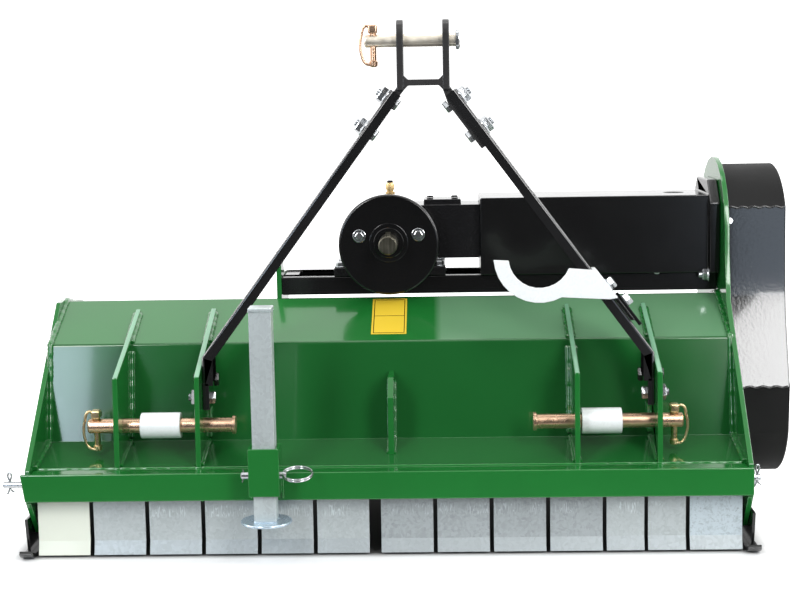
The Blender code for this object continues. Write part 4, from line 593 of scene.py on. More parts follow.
def nut_end(across, height, thread, past, washer=0.002, pitch=0.00125):
    """Flange nut on a washer with the end of its bolt."""
    corner, flange = across / math.sqrt(3), across * 0.66
    nut = turned(((0, corner * 0.95), (height * 0.2, corner), (height * 0.85, corner),
                  (height, corner * 0.87)), 6, turn=15, base=washer)
    skirt = turned(((0, flange), (washer * 0.5, flange), (washer * 1.6, corner * 0.93)), 28)
    rings = [(0.0, thread)]
    top = washer + height + past
    while rings[-1][0] + pitch < top:
        along = rings[-1][0]
        rings += [(along + pitch * 0.5, thread * 0.9), (along + pitch, thread)]
    rings.append((top, thread * 0.8))
    return join([nut, skirt, turned(rings, 18)])


def facing(point, direction):
    """Matrix that carries a fastener from the Z axis to a point, looking along a direction."""
    turn = Vector(direction).to_track_quat("Z", "Y").to_matrix().to_4x4()
    return Matrix.Translation(Vector(point)) @ turn


def set_fasteners(name, model, spots, material=ZINC_BRIGHT, slot="bright_zinc"):
    """Copies of one fastener at each (point, direction), joined as one piece; the model goes."""
    pieces = []
    for point, direction in spots:
        pick(model)
        bpy.ops.object.duplicate()
        twin = bpy.context.active_object
        twin.data.transform(facing(point, direction))
        pieces.append(twin)
    bpy.data.objects.remove(model)
    finish(join(pieces), name, material, slot)


# Hood, rail and side plates

def hood_point(y):
    """Height of the hood's outer face, in Y from the front of the rail."""
    for (y0, z0), (y1, z1) in zip(HOOD_LINE, HOOD_LINE[1:]):
        if y0 <= y <= y1:
            return z0 + (z1 - z0) * (y - y0) / (y1 - y0)
    return HOOD_LINE[-1][1]


def rounded_line(points, radii, steps=4):
    """Line with each inner corner rounded."""
    line = [points[0]]
    for before, corner, after, radius in zip(points, points[1:], points[2:], radii):
        corner = Vector(corner)
        back = (Vector(before) - corner).normalized()
        ahead = (Vector(after) - corner).normalized()
        reach = min(radius / math.tan(back.angle(ahead) / 2), 0.02)
        start, end = corner + back * reach, corner + ahead * reach
        for i in range(steps + 1):
            t = i / steps
            line.append(tuple(start.lerp(corner, t).lerp(corner.lerp(end, t), t)))
    line.append(points[-1])
    return line


def offset_line(points, distance):
    """The same line set off to its right."""
    result = []
    for i, point in enumerate(points):
        here = Vector(point)
        ahead = Vector(points[min(i + 1, len(points) - 1)]) - here
        back = here - Vector(points[max(i - 1, 0)])
        along = ((ahead or back).normalized() + (back or ahead).normalized()).normalized()
        result.append((here.x + along.y * distance, here.y - along.x * distance))
    return result


def hood():
    """Folded hood sheet in a darker green as painted shade, with a painted sheen on its upper panel, and the
    angle rail.
    """
    line = [(y + FRONT_Y, z) for y, z in rounded_line(HOOD_LINE, FOLD_RADII)]
    inside = (MID_X - HALF + 0.0005, MID_X + HALF - 0.0005)
    sheet = flat_shading(plate(line + offset_line(line, SHEET)[::-1], "x", *inside), 35)
    # the hood sheet takes the darker green: painted shade
    finish(sheet, "hood_sheet", GREEN_SHADED, replaces="deck_shell")
    (y0, z0), (y1, z1) = HOOD_LINE[2:4]
    upper = Vector((0, z0 - z1, y1 - y0)).normalized()
    second_finish(sheet, GREEN_UPPER, lambda face: (face.normal - upper).length < 0.10)

    left, right = LEFT_PLATE[0][0], RIGHT_PLATE[1][0]
    rail_front = plate(((left, RAIL["low"]), (right, RAIL["low"]), (right, RAIL["top"]),
                        (left - 0.006, RAIL["top"])), "y", FRONT_Y, FRONT_Y + RAIL["wall"])
    depth, heights = (FRONT_Y + 0.004, FRONT_Y + RAIL["depth"]), (RAIL["top"] - RAIL["wall"], RAIL["top"])
    rail_top = block(inside, depth, heights)
    rail = join([soften(rail_front, 0.0020, 4), soften(rail_top, 0.0012, 2)])
    finish(rail, "front_rail", GREEN_PLATE, replaces="deck_shell")


def gusset():
    """Stiffener in the middle of the steep panel."""
    front, high, corner = 0.075, 0.252, (0.020, 0.028)
    (toe_y, toe_z), (fold_y, fold_z) = HOOD_LINE[1:3]
    lean = (fold_y - toe_y) / (fold_z - toe_z)
    outline = [(front, hood_point(front) - 0.001), (front, high - corner[1]), (front + corner[0], high),
               (toe_y + (high - toe_z) * lean + 0.001, high), (toe_y + 0.001, toe_z)]
    piece = plate([(y + FRONT_Y, z) for y, z in outline], "x", MID_X, MID_X + 0.009)
    finish(soften(piece, 0.0009), "hood_gusset", GREEN_PLATE, replaces="deck_shell")


def socket():
    """Square socket of the parking stand, and the bracket at the subframe's left end."""
    leg_x, leg_y = MID_X + STAND_X, FRONT_Y + STAND_Y
    outer, heights = SOCKET_INNER + SOCKET_WALL, (0.105, 0.175)
    walls = []
    for side in (-1, 1):
        across = sorted((leg_y + side * SOCKET_INNER, leg_y + side * outer))
        walls.append(soften(block((leg_x - outer, leg_x + outer), across, heights), 0.0014, 3))
    for side in (-1, 1):
        across = sorted((leg_x + side * SOCKET_INNER, leg_x + side * outer))
        walls.append(block(across, (leg_y - SOCKET_INNER, leg_y + SOCKET_INNER), heights))
    finish(join(walls), "stand_socket", GREEN_PLATE, replaces="deck_shell")
    tube_lo, tube_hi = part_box("drive_subframe")
    front, back, top = tube_lo[1] - FRONT_Y, tube_hi[1] - FRONT_Y, tube_hi[2]
    outline = [(y, hood_point(y) - 0.001) for y in (front, front + 0.03, front + 0.06, front + 0.09, back)]
    outline += [(back, top), (front + 0.050, top + 0.004), (front + 0.034, top + 0.042), (front, top + 0.042)]
    bracket = plate([(y + FRONT_Y, z) for y, z in outline], "x", tube_lo[0] - 0.0083, tube_lo[0] - 0.0003)
    finish(soften(bracket, 0.001), "subframe_bracket", GREEN_PLATE, replaces="deck_shell")


def hood_path(x, first, last, lift=0.0008):
    """Points on the hood's face at one X, between two distances behind the rail."""
    stops = [first] + [y for y, z in HOOD_LINE if first < y < last] + [last]
    return [Vector((x, y + FRONT_Y, hood_point(y) + lift)) for y in stops]


def hood_welds():
    """Beads along the lugs' feet, the rail, the side plates, the gusset and the socket."""
    top = RAIL["top"]
    runs = ((0.042, 0.128, 0.0036), (0.131, 0.158, 0.0054), (0.163, 0.240, 0.0046))
    beads = []
    for lug in LUGS:
        lo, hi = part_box(lug)
        for x in (lo[0], hi[0]):
            for first, last, radius in runs:
                beads.append(bead(hood_path(x, first, last), radius))
        beads.append(bead([(x, FRONT_Y + 0.034, top) for x in (lo[0], hi[0])], 0.0026))
    for x in (MID_X - HALF + 0.001, MID_X + HALF - 0.001):
        beads.append(bead(hood_path(x, 0.036, 0.470), 0.0054))
    beads.append(bead([at(side * (HALF - 0.004), 0.036, top) for side in (-1, 1)], 0.0022))
    for x in (MID_X - 0.0004, MID_X + 0.0094):
        beads.append(bead(hood_path(x, 0.077, 0.130) + hood_path(x, 0.131, 0.148), 0.0024))
    for side in (-1, 1):
        beads.append(bead([at(STAND_X + side * 0.0225, -0.001, z) for z in (0.093, top)], 0.0026))
    beads.append(bead([at(STAND_X + x, -0.0005, top + 0.0015) for x in (-0.022, 0.022)], 0.0024))
    finish(join(beads), "hood_welds", GREEN_WELD, "green_paint")


def label():
    """Blank yellow plate with a thin dark border on the upper panel."""
    start, end = Vector(HOOD_LINE[2]), Vector(HOOD_LINE[3])
    along = (end - start).normalized()
    out = Vector((-along.y, along.x))
    low, middle, high, half = 0.020, 0.073, 0.126, 0.0275
    lift, thick, edge, inset = 0.0001, 0.0006, 0.0012, 0.003

    def strip(a, b, xs, base, height):
        corners = ((a, base), (b, base), (b, base + height), (a, base + height))
        points = [start + along * s + out * h for s, h in corners]
        return plate([(p.x + FRONT_Y, p.y) for p in points], "x", MID_X + xs[0], MID_X + xs[1])

    finish(strip(low, high, (-half, half), lift, thick), "label_plate", YELLOW)
    wide, low, high = half - inset, low + inset, high - inset
    lines = [(s, s + edge, (-wide, wide)) for s in (low, high - edge, middle)]
    lines += [(low, high, xs) for xs in ((-wide, edge - wide), (wide - edge, wide))]
    finish(join([strip(a, b, xs, lift + thick, 0.0001) for a, b, xs in lines]), "label_border", BLACK)


# Gearbox details

def gearbox_details():
    """Screws, feet bolts and lid bolts, the breather, and the stub with its seal."""
    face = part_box("gearbox_cover")[0][1]
    ring = turned(((-0.001, 0.0104), (0.0020, 0.0104), (0.0026, 0.0098), (0.0026, 0.0090), (0.0020, 0.0086),
                   (0.0004, 0.0086)))
    screw = join([hex_head(0.0118, 0.0040), ring])
    spots = [((MID_X + x, face, AXIS_Z + z), (0, -1, 0)) for x, z in ((-0.0465, 0.0112), (0.0472, 0.0125))]
    set_fasteners("cover_screws", screw, spots)
    case_lo, case_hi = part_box("gearbox_case")
    foot_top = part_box("drive_subframe")[1][2] + 0.0143
    spots = [((MID_X + x, y, foot_top), (0, 0, 1)) for x in (-0.080, 0.080)
             for y in (case_lo[1] + 0.030, case_hi[1] - 0.014)]
    set_fasteners("feet_bolts", hex_head(0.013, 0.0065, 0.0018, 0.0102), spots)
    lid_top = AXIS_Z + 0.064
    spots = [((MID_X + x, AXIS_Y + y, lid_top), (0, 0, 1)) for x in (0.066, 0.106) for y in (-0.026, 0.026)]
    set_fasteners("lid_bolts", hex_head(0.009, 0.0022), spots, BLACK, "black_paint")

    spot, base = (MID_X + 0.002, AXIS_Y - 0.035), AXIS_Z + 0.0525
    boss = turned(((0, 0.0125), (0.004, 0.0120), (0.007, 0.0085), (0.009, 0.0078)), centre=spot, base=base)
    finish(boss, "breather_boss", BLACK_CAST, "black_paint")
    stem = turned(((0.008, 0.0064), (0.014, 0.0064), (0.0145, 0.0052), (0.0205, 0.0052), (0.021, 0.0078),
                   (0.0245, 0.0078), (0.025, 0.0055), (0.028, 0.0055), (0.0285, 0.0070), (0.036, 0.0070),
                   (0.0395, 0.0055)), 24, centre=spot, base=base)
    hexagon = turned(((0.008, 0.0088), (0.0085, 0.0094), (0.0130, 0.0094), (0.0138, 0.0086)), 6, centre=spot,
                     base=base)
    finish(join([stem, hexagon]), "breather", BRASS)

    dress("pto_shaft", STUB, 0.0006)
    seal = turned(((-0.0025, 0.0240), (-0.0030, 0.0232), (-0.0030, 0.0180), (-0.0006, 0.0165),
                   (0.001, 0.0165)), 40, "y", (MID_X, AXIS_Z), base=face)
    finish(seal, "shaft_seal", BLACK)


def cover_rim():
    """Round cover of the gearbox with a turned edge and a raised bearing seat."""
    lo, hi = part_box("gearbox_cover")
    radius, rim = (hi[0] - lo[0]) / 2, 0.0042
    front, back = lo[1], hi[1]
    rings = [(back, radius - 0.0006), (back - 0.0010, radius),
             *arc((front + rim, radius - rim), rim, 90, 180, 5), (front, 0.0150)]
    disc = turned(rings, 96, "y", ((lo[0] + hi[0]) / 2, (lo[2] + hi[2]) / 2))
    finish(disc, "gearbox_cover_disc", BLACK, replaces="gearbox_cover")
    seat = turned(((0.001, 0.0315), (-0.0006, 0.0310), (-0.0012, 0.0300), (-0.0012, 0.0240),
                   (-0.0004, 0.0232)), 64, "y", (MID_X, AXIS_Z), base=front)
    finish(seat, "bearing_seat", BLACK, "black_paint")


# Hitch frame

def brace_line():
    """Start, direction and outward direction of a brace's middle line, in X off the mast's middle and Z."""
    top = Vector((MAST_HALF, MAST_BEND))
    foot = Vector((BRACE_FOOT - BRACE_W / 2, BRACE_BEND))
    down = (foot - top).normalized()
    for _ in range(4):
        outward = Vector((-down.y, down.x))
        start = top + outward * 0.0008
        down = (foot - start).normalized()
    return start, down, outward


def on_brace(side, along, out, y=0.0):
    """Point on a brace: distance down it, distance outwards from its middle line, and Y off its middle."""
    start, down, outward = brace_line()
    point = start + down * along + outward * out
    return at(MAST_X + side * point.x, FRAME_Y + y, point.y)


def brace_out(side):
    """Direction square to a brace, away from the mast."""
    outward = brace_line()[2]
    return Vector((side * outward.x, 0, outward.y))


def channel_section(radius=0.0042, wall=0.0035, steps=5):
    """Channel of a brace as (outwards, Y) points: rounded web outside, flanges towards the mast."""
    half, deep = BRACE_W / 2, BRACE_D / 2

    def bends(r):
        return [*arc((half - radius, radius - deep), r, -90, 0, steps),
                *arc((half - radius, deep - radius), r, 0, 90, steps)]

    return [(-half, -deep), *bends(radius), (-half, deep), (-half, deep - wall), *bends(radius - wall)[::-1],
            (-half, wall - deep)]


def brace_channel(side):
    """One brace: the channel down the slope, bent upright at the foot, with the tab on the lug."""
    start, down, outward = brace_line()
    section = channel_section()
    bend, foot = [], []
    for out, y in section:
        x = BRACE_FOOT - BRACE_W / 2 + out
        bend.append(on_brace(side, (x - start.x - outward.x * out) / down.x, out, y))
        foot.append(at(MAST_X + side * x, FRAME_Y + y, 0.2470))
    piece = polygon([on_brace(side, 0.010, out, y) for out, y in section])
    edit(piece)
    for mode, row in (("VERT", bend), ("FACE", foot)):
        bpy.ops.mesh.select_mode(type=mode)
        bpy.ops.mesh.extrude_region_move(TRANSFORM_OT_translate={"value": (0, 0, -0.01)})
        done()
        for vert, point in zip(piece.data.vertices[-len(section):], row):
            vert.co = point
        bpy.ops.object.mode_set(mode="EDIT")
    flat_shading(outwards())
    xs = sorted(MAST_MID + side * (BRACE_FOOT - inset) for inset in (0.0, 0.010))
    tab = block(xs, (FRAME_MID - BRACE_D / 2, FRAME_MID + BRACE_D / 2), (0.210, 0.2510))
    return join([piece, soften(tab, 0.0012, 3)])


def mast():
    """Clevis for the top link: two round-topped plates, legs down into the braces, and a welded cross bar."""
    thick, round_r, leg_end, leg_deep = 0.010, 0.0225, 0.103, 0.0157
    start, down, outward = brace_line()
    outline = arc((FRAME_MID, MAST_TOP - round_r), round_r, 0, 180, 20)
    outline += [(FRAME_MID + side * round_r, MAST_BEND - 0.004) for side in (-1, 1)]
    outer, inner = MAST_HALF + thick / 2, MAST_HALF - thick / 2
    pieces = []
    for side, deep in LEG_INNER.items():
        xs = sorted(MAST_MID + side * x for x in (inner, outer))
        pieces.append(soften(plate(outline, "x", *xs), 0.0014, 3))
        slope = [start + outward * out + down * along
                 for along, out in ((leg_end, 0.0042), (leg_end, deep), (0.022, deep))]
        corners = [(outer, MAST_BEND + 0.010), (outer, MAST_BEND + 0.001), *slope, (inner, MAST_BEND - 0.004),
                   (inner, MAST_BEND + 0.010)]
        corners = [(MAST_MID + side * x, z) for x, z in corners]
        leg = plate(corners, "y", FRAME_MID - leg_deep, FRAME_MID + leg_deep)
        pieces.append(soften(leg, 0.0012, 3))
    weld, edge = 0.0065, inner + 0.0005
    low, high = MAST_BEND + 0.0025, MAST_BEND + 0.0115
    corners = [(-edge, low - weld), (-edge + weld, low), (edge - weld, low), (edge, low - weld),
               (edge, high + weld), (edge - weld, high), (-edge + weld, high), (-edge, high + weld)]
    bar = plate([(MAST_MID + x, z) for x, z in corners], "y", FRAME_MID - round_r, FRAME_MID + round_r)
    pieces.append(soften(bar, 0.0010))
    finish(join(pieces), "mast_clevis", BLACK_SATIN, replaces="mast_head")


def hitch_frame():
    """Channel braces, mast, the bolts and nuts that hold them, and the rest hook with its strap."""
    for brace, side in (("brace_left", -1), ("brace_right", 1)):
        finish(brace_channel(side), brace + "_channel", BLACK_GLOSS, replaces=brace)
    mast()
    nut = nut_end(0.0214, 0.0095, 0.0060, 0.0045)
    head = hex_head(0.0175, 0.0074)
    nuts, heads, dark = [], [], []
    for side, lug in ((-1, LUGS[1]), (1, LUGS[3])):
        for along in BRACE_BOLTS:
            nuts.append((on_brace(side, along, BRACE_W / 2 + 0.0002), brace_out(side)))
            heads.append((on_brace(side, along, LEG_INNER[side]), -brace_out(side)))
        outer, inner = (end[0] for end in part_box(lug)[::-side])
        low, high = LUG_BOLTS
        nuts.append(((outer, FRAME_MID, low), (side, 0, 0)))
        heads.append(((inner - side * 0.0103, FRAME_MID, low), (-side, 0, 0)))
        dark.append(((outer, FRAME_MID, high), (side, 0, 0)))
        dark.append(((inner - side * (BRACE_W + 0.0003), FRAME_MID, high), (-side, 0, 0)))
    set_fasteners("frame_nuts", nut, nuts)
    set_fasteners("frame_bolt_heads", head, heads)
    set_fasteners("frame_dark_bolts", hex_head(0.0190, 0.0070), dark, BLACK, "black_paint")

    near, far = STRAP
    corners = ((near, 0.0133), (far, 0.0133), (far, 0.0183), (near, 0.0183))
    corners = [on_brace(1, along, out) for along, out in corners]
    strap = plate([(c.x, c.z) for c in corners], "y", FRAME_MID - 0.018, FRAME_MID + 0.018)
    finish(soften(strap, 0.0008), "hook_strap", BLACK, "black_paint")
    spots = [(on_brace(1, along, out), brace_out(1)) for along, out in HOOK_BOLTS]
    set_fasteners("hook_bolts", hex_head(0.0170, 0.0085, 0.0016, 0.0100), spots)
    hook = dress("pto_hook", ZINC_PALE, 0.0009, 3)
    start, down, _ = brace_line()

    def on_tab(face):
        return (face.center.x - MAST_MID - start.x) * down.x + (face.center.z - start.y) * down.y > HOOK_TAB

    second_finish(hook, BLACK, on_tab)


# Pins

def linch(name, x, centre, radius, side, material, tail=0.034):
    """Linch pin: a block head, a shank through the pin, and a wire bowed round the pin's end to a knob."""
    y, z = centre
    top = z + radius + 0.001
    end = z - tail
    shank = turned(((end, 0.0036), (end + 0.003, 0.0047), (top + 0.004, 0.0047)), 20, centre=(x, y))
    head = soften(block((x - 0.0075, x + 0.0065), (y - 0.009, y + 0.009), (top, top + 0.013)), 0.0030, 3)
    knob = turned(((-0.004, 0.0035), (-0.002, 0.0062), (0.004, 0.0066), (0.006, 0.0045)), 20, centre=(x, y),
                  base=end)
    reach = radius * 0.4 + 0.0150
    bow = [(0.004, top + 0.008), (0.55 * reach, top + 0.011), (0.92 * reach, z + radius * 0.6),
           (reach, z - 0.002), (0.93 * reach, z - tail * 0.55), (0.60 * reach, z - tail * 0.95),
           (0.10 * reach, end - 0.001)]
    ring = wire([(x + side * out, y - 0.004, height) for out, height in bow], 0.0021)
    finish(join([shank, head, knob, ring]), f"linch_{name}", material, replaces=f"linch_pin_{name}")


def rod(centre, left, right, taper, end_radius, sides):
    """Rod of 5 mm radius along X, with a short chamfer at the left and its own taper at the right."""
    rings = ((left, 0.0040), (left + 0.001, 0.0050), (right - taper, 0.0050), (right, end_radius))
    return turned(rings, sides, "x", centre)


def split_pin(x, y, z):
    """Split pin through a rod: two legs of wire, spread below, and the eye above."""
    rise = (z + 0.013, z + 0.007, z, z - 0.007)
    legs = [[(x + dx, y, height) for dx, height in zip(dxs, (*rise, low))]
            for dxs, low in (((0.003, 0.001, 0, -0.001, -0.004), z - 0.014),
                             ((-0.003, -0.001, 0, 0.001, 0.006), z - 0.011))]
    eye = [(x - 0.003, y, z + 0.013), (x, y, z + 0.0185), (x + 0.003, y, z + 0.013)]
    return [wire(points, 0.0015) for points in (*legs, eye)]


def pins():
    """Lower pins and top pin with their linch pins, bushes, and the flap rod with its split pins."""
    for side, name in ((-1, "left"), (1, "right")):
        dress(f"hitch_pin_{name}", COPPERY, 0.0007, 3)
        dress(f"spacer_bush_{name}", ZINC_PALE, 0.0012, 3)
        lo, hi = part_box(f"linch_pin_{name}")
        x = hi[0] - 0.008 if side < 0 else lo[0] + 0.008
        linch(name, x, (FRONT_Y + LOWER_PIN[0], LOWER_PIN[1]), 0.011, side, PASSIVATED)
    dress("top_pin", PALE_PASSIVATED, 0.0008, 3)
    head = turned(((-0.0056, 0.0136), (-0.0050, 0.0143), (-0.0010, 0.0143), (0.0006, 0.0128)), 40,
                  "x", TOP_PIN, base=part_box("top_pin")[1][0])
    finish(head, "top_pin_head", ZINC_BRIGHT, "bright_zinc")
    linch("top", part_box("linch_pin_top")[1][0] - 0.008, TOP_PIN, 0.0095, -1, COPPERY)

    lo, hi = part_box("flap_rod")
    y, z = FRONT_Y + 0.017, 0.112
    left, right = lo[0] - 0.008, hi[0]
    parts = [rod((y, z), left, right, 0.001, 0.0040, 24)]
    for x, out in ((LEFT_PLATE[0][0], -1), (RIGHT_PLATE[1][0], 1)):
        near, far = out * 0.0003, out * 0.0026
        rings = ((near, 0.0050), (near, 0.0108), (far, 0.0108), (far, 0.0050))
        parts.append(turned(rings, 28, "x", (y, z), base=x))
    parts += split_pin(left + 0.010, y, z) + split_pin(right - 0.005, y, z)
    finish(join(parts), "flap_rod_and_split_pins", ZINC_BRIGHT, replaces="flap_rod")


def stand_lock():
    """Lock pin of the stand: a rod with a small split pin, and a tilted double ring."""
    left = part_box("stand_pin")[0][0]
    y, z = FRONT_Y + STAND_Y, STAND_PIN_Z
    ring_r, wire_r, tilt = 0.0215, 0.0013, math.radians(13)
    eye_x = MID_X + STAND_X + SOCKET_INNER + SOCKET_WALL + 0.004
    parts = [rod((y, z), left, eye_x + 0.004, 0.004, 0.0042, 20),
             wire([(left + 0.004, y, z + 0.009), (left + 0.004, y, z), (left + 0.002, y, z - 0.010)], 0.0012)]
    for turn in (0, 1):
        centre = Vector((eye_x + ring_r - 0.001, y - turn * 0.001, z + turn * 0.0029))
        ring = [centre + Vector((-u, v * math.cos(tilt), v * math.sin(tilt)))
                for u, v in arc((0, 0), ring_r, 0, 360, 16)[:-1]]
        parts.append(wire(ring, wire_r, closed=True, steps=4))
    finish(join(parts), "stand_lock_pin", ZINC_BRIGHT, replaces="stand_pin")


# Belt cover and housing

def cover_outline(lo, hi):
    """Cover's outline in Y and Z: a round top, a front that leans out lower down, and a round foot."""
    upper_r, lower_r = hi[2] - AXIS_Z, ROTOR_Z - lo[2]
    fold = 180 - math.degrees(math.asin((COVER_FOLD - AXIS_Z) / upper_r))
    outline = arc((AXIS_Y, AXIS_Z), upper_r, -8, fold, 24)
    bulge = upper_r / (AXIS_Y - outline[-1][0])
    outline = [(min(y, AXIS_Y + (y - AXIS_Y) * bulge), z) for y, z in outline]
    edge_y, foot_y, steps = outline[-1][0], AXIS_Y - upper_r - 0.0385 - FOOT_BULGE, 30
    drop = COVER_FOOT - COVER_FOLD
    leans = []
    for i in range(steps):
        z = COVER_FOLD + drop * (i + 0.5) / steps
        above = [k for k in COVER_LEAN if k[0] >= z][-1]
        below = [k for k in COVER_LEAN if k[0] < z][0]
        degrees = above[1] + (below[1] - above[1]) * (above[0] - z) / (above[0] - below[0])
        leans.append(math.tan(math.radians(degrees)))
    share = 0.0
    for i, lean in enumerate(leans):
        share += lean / sum(leans)
        outline.append((edge_y + (foot_y - edge_y) * share, COVER_FOLD + drop * (i + 1) / steps))
    drum = arc((ROTOR_Y, ROTOR_Z), lower_r + 0.0125, 195, 352, 26)
    reach = ROTOR_Y - drum[0][0]
    return outline + [(y - FOOT_BULGE * max(0.0, (ROTOR_Y - y) / reach), z) for y, z in drum]


def belt_cover():
    """Rolled cover of the belt with its rim, its two welded seams and its bolt."""
    lo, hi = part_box("belt_cover")
    inner, outer = lo[0], hi[0]
    outline = cover_outline(lo, hi)
    shell = plate(outline, "x", outer - 0.0025, inner)
    edit(shell)
    bpy.ops.mesh.select_all(action="DESELECT")
    form = bmesh.from_edit_mesh(shell.data)
    for face in form.faces:
        face.select = abs(face.calc_center_median().x - inner) < 1e-5
    bmesh.update_edit_mesh(shell.data)
    bpy.ops.mesh.delete(type="FACE")
    done()
    modify(shell, "SOLIDIFY", thickness=0.003, offset=-1.0)
    finish(flat_shading(shell, 8.4), "belt_cover_shell", BLACK_PEEL, replaces="belt_cover")
    second_finish(shell, BLACK_MATT, lambda face: not COVER_FOOT <= face.center.z <= COVER_FOLD)

    grown = offset_line(outline + outline[:1], -0.0022)[:-1]
    finish(soften(plate(grown, "x", outer - 0.0030, outer), 0.0007), "belt_cover_rim", BLACK, "black_paint")
    seams = []
    for height, steps in ((0.490, 24), (0.214, 20)):
        row = [(y, z) for y, z in outline if y < AXIS_Y and abs(z - height) < 0.012]
        y = min(row, key=lambda p: abs(p[1] - height))[0]
        points = [(inner + (outer - inner - 0.004) * i / steps, y - 0.0006,
                   height + 0.0012 * math.sin(i * 1.3)) for i in range(steps + 1)]
        seams.append(bead(points, 0.0022))
    finish(join(seams), "belt_cover_seams", BLACK, "black_paint")
    z = 0.468
    y = AXIS_Y - math.sqrt((hi[2] - AXIS_Z) ** 2 - (z - AXIS_Z) ** 2)
    spot = ((inner + 0.0010, y, z), Vector((0, y - AXIS_Y, z - AXIS_Z)).normalized())
    set_fasteners("belt_cover_bolt", hex_head(0.0100, 0.0046, 0.0012, 0.0070), [spot])


def housing_bolts():
    """Nut of the housing's flange, and bolt of the cross tube."""
    lo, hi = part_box("drive_housing")
    spot = (hi[0] - 0.016, lo[1] + 0.016, lo[2] - 0.004)
    set_fasteners("flange_nuts", nut_end(0.0170, 0.0080, 0.0050, 0.0060, 0.0016), [(spot, (-1, 0, 0))])
    spot = (MID_X + 0.4285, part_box("drive_subframe")[0][1], 0.3865)
    set_fasteners("tube_bolt", hex_head(0.0090, 0.0050, 0.0012, 0.0062), [(spot, (0, -1, 0))], ZINC_PALE)


# The frame's own pieces, softened

DRESSES = (
    (("drive_housing",), BLACK, 0.0022, 3),
    (("gearbox_case",), BLACK_CAST, 0.0010, 2),
    (("stand_leg",), ZINC_TUBE, 0.0016, 3),
    (("cross_shaft", "lower_pulley"), IRON, 0.0006, 2),
    (("drive_belt",), RUBBER, 0.0008, 2),
    (("rotor_bearing_left", "rotor_bearing_right", "roller_bracket_left", "roller_bracket_right", "skid_left",
      "skid_right"), BLACK, 0.0008, 2),
    (("rotor",), BLACK, 0.0006, 2),
    (("roller",), BLACK, 0.0015, 2),
    (tuple(f"flail_pair_{i}" for i in range(1, 9)), STEEL, 0.0005, 2),
)


def flap(i):
    """One front flap, slimmed about its middle, with a paler lip, a painted highlight where the lip faces up,
    on all but the cream one.
    """
    name = f"front_flap_{i:02d}"
    finishes = {1: CREAM, FLAP_COUNT: ZINC_COARSE, **{dull: ZINC_DULL for dull in DULL_FLAPS}}
    piece = dress(name, finishes.get(i, ZINC_FLAP), 0.0006, angle=11)
    lo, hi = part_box(name)
    middle = (lo[0] + hi[0]) / 2
    for vertex in piece.data.vertices:
        vertex.co.x = middle + (vertex.co.x - middle) * FLAP_SLIM
    if i > 1:
        # painted highlight: the lip gets its own zinc colour
        second_finish(piece, ZINC_LIP_HIGHLIGHT, lambda face: face.center.z < lo[2] + FLAP_LIP)


def frame_nodes():
    """Softened copies of the frame's own pieces, each with its finish."""
    for plate_node in ("side_plate_left", "side_plate_right"):
        dress(plate_node, GREEN_PLATE, 0.0012, 3)
    for lug in LUGS:
        piece = dress(lug, GREEN_PLATE, 0.0024, 4)
        # faces looking up and forward get the pale green: painted highlight
        second_finish(piece, GREEN_HIGHLIGHT, lambda face: face.normal.z > 0.55 and face.normal.y < -0.15)
    for i in range(1, FLAP_COUNT + 1):
        flap(i)
    tubes = dress("drive_subframe", BLACK, 0.0022, 3)
    for vertex in tubes.data.vertices:
        if abs(vertex.co.z - TUBE_LOW) < 0.004:
            vertex.co.z -= TUBE_DROP
    for nodes, material, width, segments in DRESSES:
        for name in nodes:
            dress(name, material, width, segments)
    leg, foot = bpy.data.objects["stand_leg_finished"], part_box("stand_leg")[0][2]
    second_finish(leg, ZINC_BLUE, lambda face: face.center.z < foot + 0.008)


# Camera and light

def camera():
    """Long lens at the height of the mast, looking a little down on the front."""
    yaw, pitch, roll = (math.radians(v) for v in (CAMERA_YAW, CAMERA_PITCH, CAMERA_ROLL))
    ahead = Vector((math.sin(yaw) * math.cos(pitch), math.cos(yaw) * math.cos(pitch), -math.sin(pitch)))
    right = ahead.cross(Vector((0, 0, 1))).normalized()
    up = right.cross(ahead)
    right, up = (right * math.cos(roll) + up * math.sin(roll), up * math.cos(roll) - right * math.sin(roll))
    lens = bpy.data.cameras.new("camera")
    lens.lens = LENS
    lens.sensor_width = SENSOR
    eye = bpy.data.objects.new("camera", lens)
    bpy.context.collection.objects.link(eye)
    eye.matrix_world = Matrix.Translation(CAMERA_AT) @ Matrix((right, up, -ahead)).transposed().to_4x4()
    bpy.context.scene.camera = eye


def softbox(name, where, look, size, power):
    """Rectangular softbox that lights the machine and isn't seen itself."""
    light = bpy.data.lights.new(name, "AREA")
    light.shape = "RECTANGLE"
    light.size, light.size_y = size
    light.energy = power
    lamp = bpy.data.objects.new(name, light)
    bpy.context.collection.objects.link(lamp)
    lamp.matrix_world = facing(where, Vector(where) - Vector(look))
    lamp.visible_camera = False
    return lamp


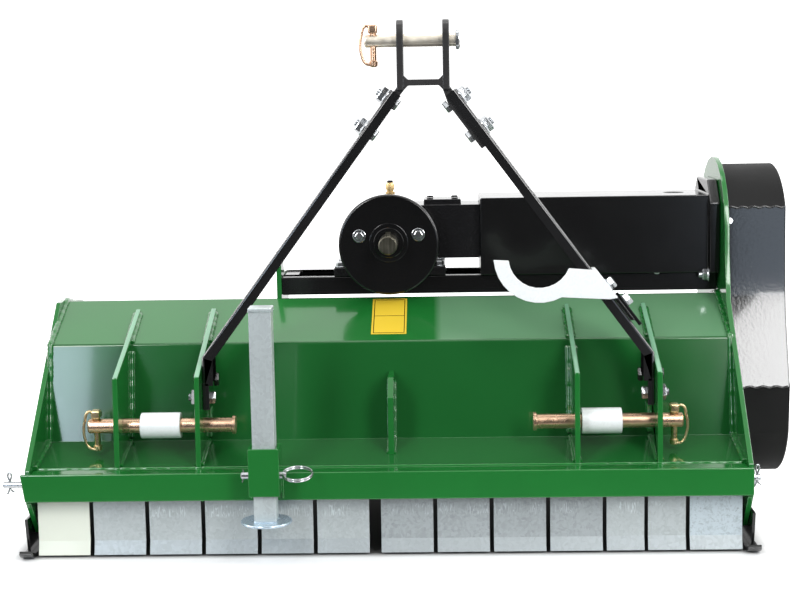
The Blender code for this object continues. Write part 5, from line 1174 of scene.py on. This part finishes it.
def floor():
    """Pale floor with a painted shadow under the machine, and for all but the camera dark near it too."""
    deselect()
    bpy.ops.mesh.primitive_plane_add(size=2 * FLOOR_REACH, location=(0, 0, -0.0002))
    sheet = bpy.context.active_object
    sheet.name = "floor"
    pale = Finish("floor_white", (0.9, 0.9, 0.9), 1.0, specular=0.0)
    tree = pale.tree
    parts = axes(tree, pale.where)
    seen = node(tree, "LightPath", {}, "Is Camera Ray")
    shade = combine(tree, "MAXIMUM", remap(tree, parts["Y"], *FLOOR_NEAR, 0.06, 1.0), seen)
    # painted shadow under the machine: the floor's colour darkened inside these edges
    under = combine(tree, "MULTIPLY", window(tree, parts["X"], *SHADE_X), window(tree, parts["Y"], *SHADE_Y),
                    SHADE)
    cloud = pale.use(MOTTLE, Scale=0.8, Low=0.97, High=1.0)["Level"]
    shade = combine(tree, "MULTIPLY", shade, combine(tree, "SUBTRACT", 1.0, under), cloud)
    pale.feed("Base Color", pale.mix(shade, (0, 0, 0), (0.92, 0.92, 0.92)))
    near = combine(tree, "MINIMUM", window(tree, parts["X"], *CLEAR_X), window(tree, parts["Y"], *CLEAR_Y))
    glow = combine(tree, "MULTIPLY", combine(tree, "SUBTRACT", 1.0, near), seen, 0.9)
    pale.shader["Emission Color"].default_value = (1.0, 1.0, 1.0, 1.0)
    pale.feed("Emission Strength", glow)
    sheet.data.materials.append(pale.material)


def room():
    """White wall behind the machine, brighter low down, an even ceiling, and the dark side at the camera."""
    world = bpy.data.worlds.new("room")
    bpy.context.scene.world = world
    world.use_nodes = True
    tree = world.node_tree
    sky = tree.nodes["Background"].inputs
    parts = axes(tree, node(tree, "TexCoord", {}, "Generated"))
    shadow = combine(tree, "MULTIPLY", remap(tree, parts["Y"], -0.80, -0.45, 1.0, 0.0),
                     remap(tree, parts["Z"], 0.85, 0.99, 1.0, 0.0))
    wall = combine(tree, "MINIMUM", remap(tree, parts["Z"], 0.05, 0.60, WALL_LOW, WALL_HIGH),
                   remap(tree, parts["Z"], 0.84, 0.97, WALL_HIGH, CEILING))
    lit = combine(tree, "MULTIPLY", wall, combine(tree, "SUBTRACT", 1.0, shadow))
    level = combine(tree, "ADD", lit, combine(tree, "MULTIPLY", shadow, DARK_SIDE))
    seen = node(tree, "LightPath", {}, "Is Camera Ray")
    tree.links.new(combine(tree, "MAXIMUM", level, seen), sky["Strength"])
    sky["Color"].default_value = (1.0, 1.0, 1.0, 1.0)


def studio():
    """Floor, room, and softboxes overhead, high and low in front, and as strips far out at the sides."""
    floor()
    room()
    softbox("overhead", (0.0, 0.1, 2.6), (0, 0.0, 0.2), (1.6, 0.4), 8)
    softbox("front_left", (-1.20, -2.2, 1.80), (-0.2, 0.0, 0.25), (0.5, 1.1), 23)
    softbox("front_right", (1.20, -2.2, 1.55), (0.3, 0.0, 0.25), (0.62, 1.7), 38)
    for where, size, power in LOW_FRONT:
        softbox("low_front", where, (where[0], 0.0, where[2]), size, power).data.color = COOL
    for side in (-1, 1):
        strip = softbox("side_strip", (side * 2.7, -0.3, 1.65), (side * 0.1, -0.1, 0.3), (0.35, 1.3), 26)
        strip.visible_diffuse = False
    bpy.context.scene.view_settings.view_transform = "Standard"


for step in (camera, studio, hood, gusset, socket, hood_welds, label, frame_nodes, cover_rim, gearbox_details,
             hitch_frame, pins, stand_lock, belt_cover, housing_bolts):
    step()
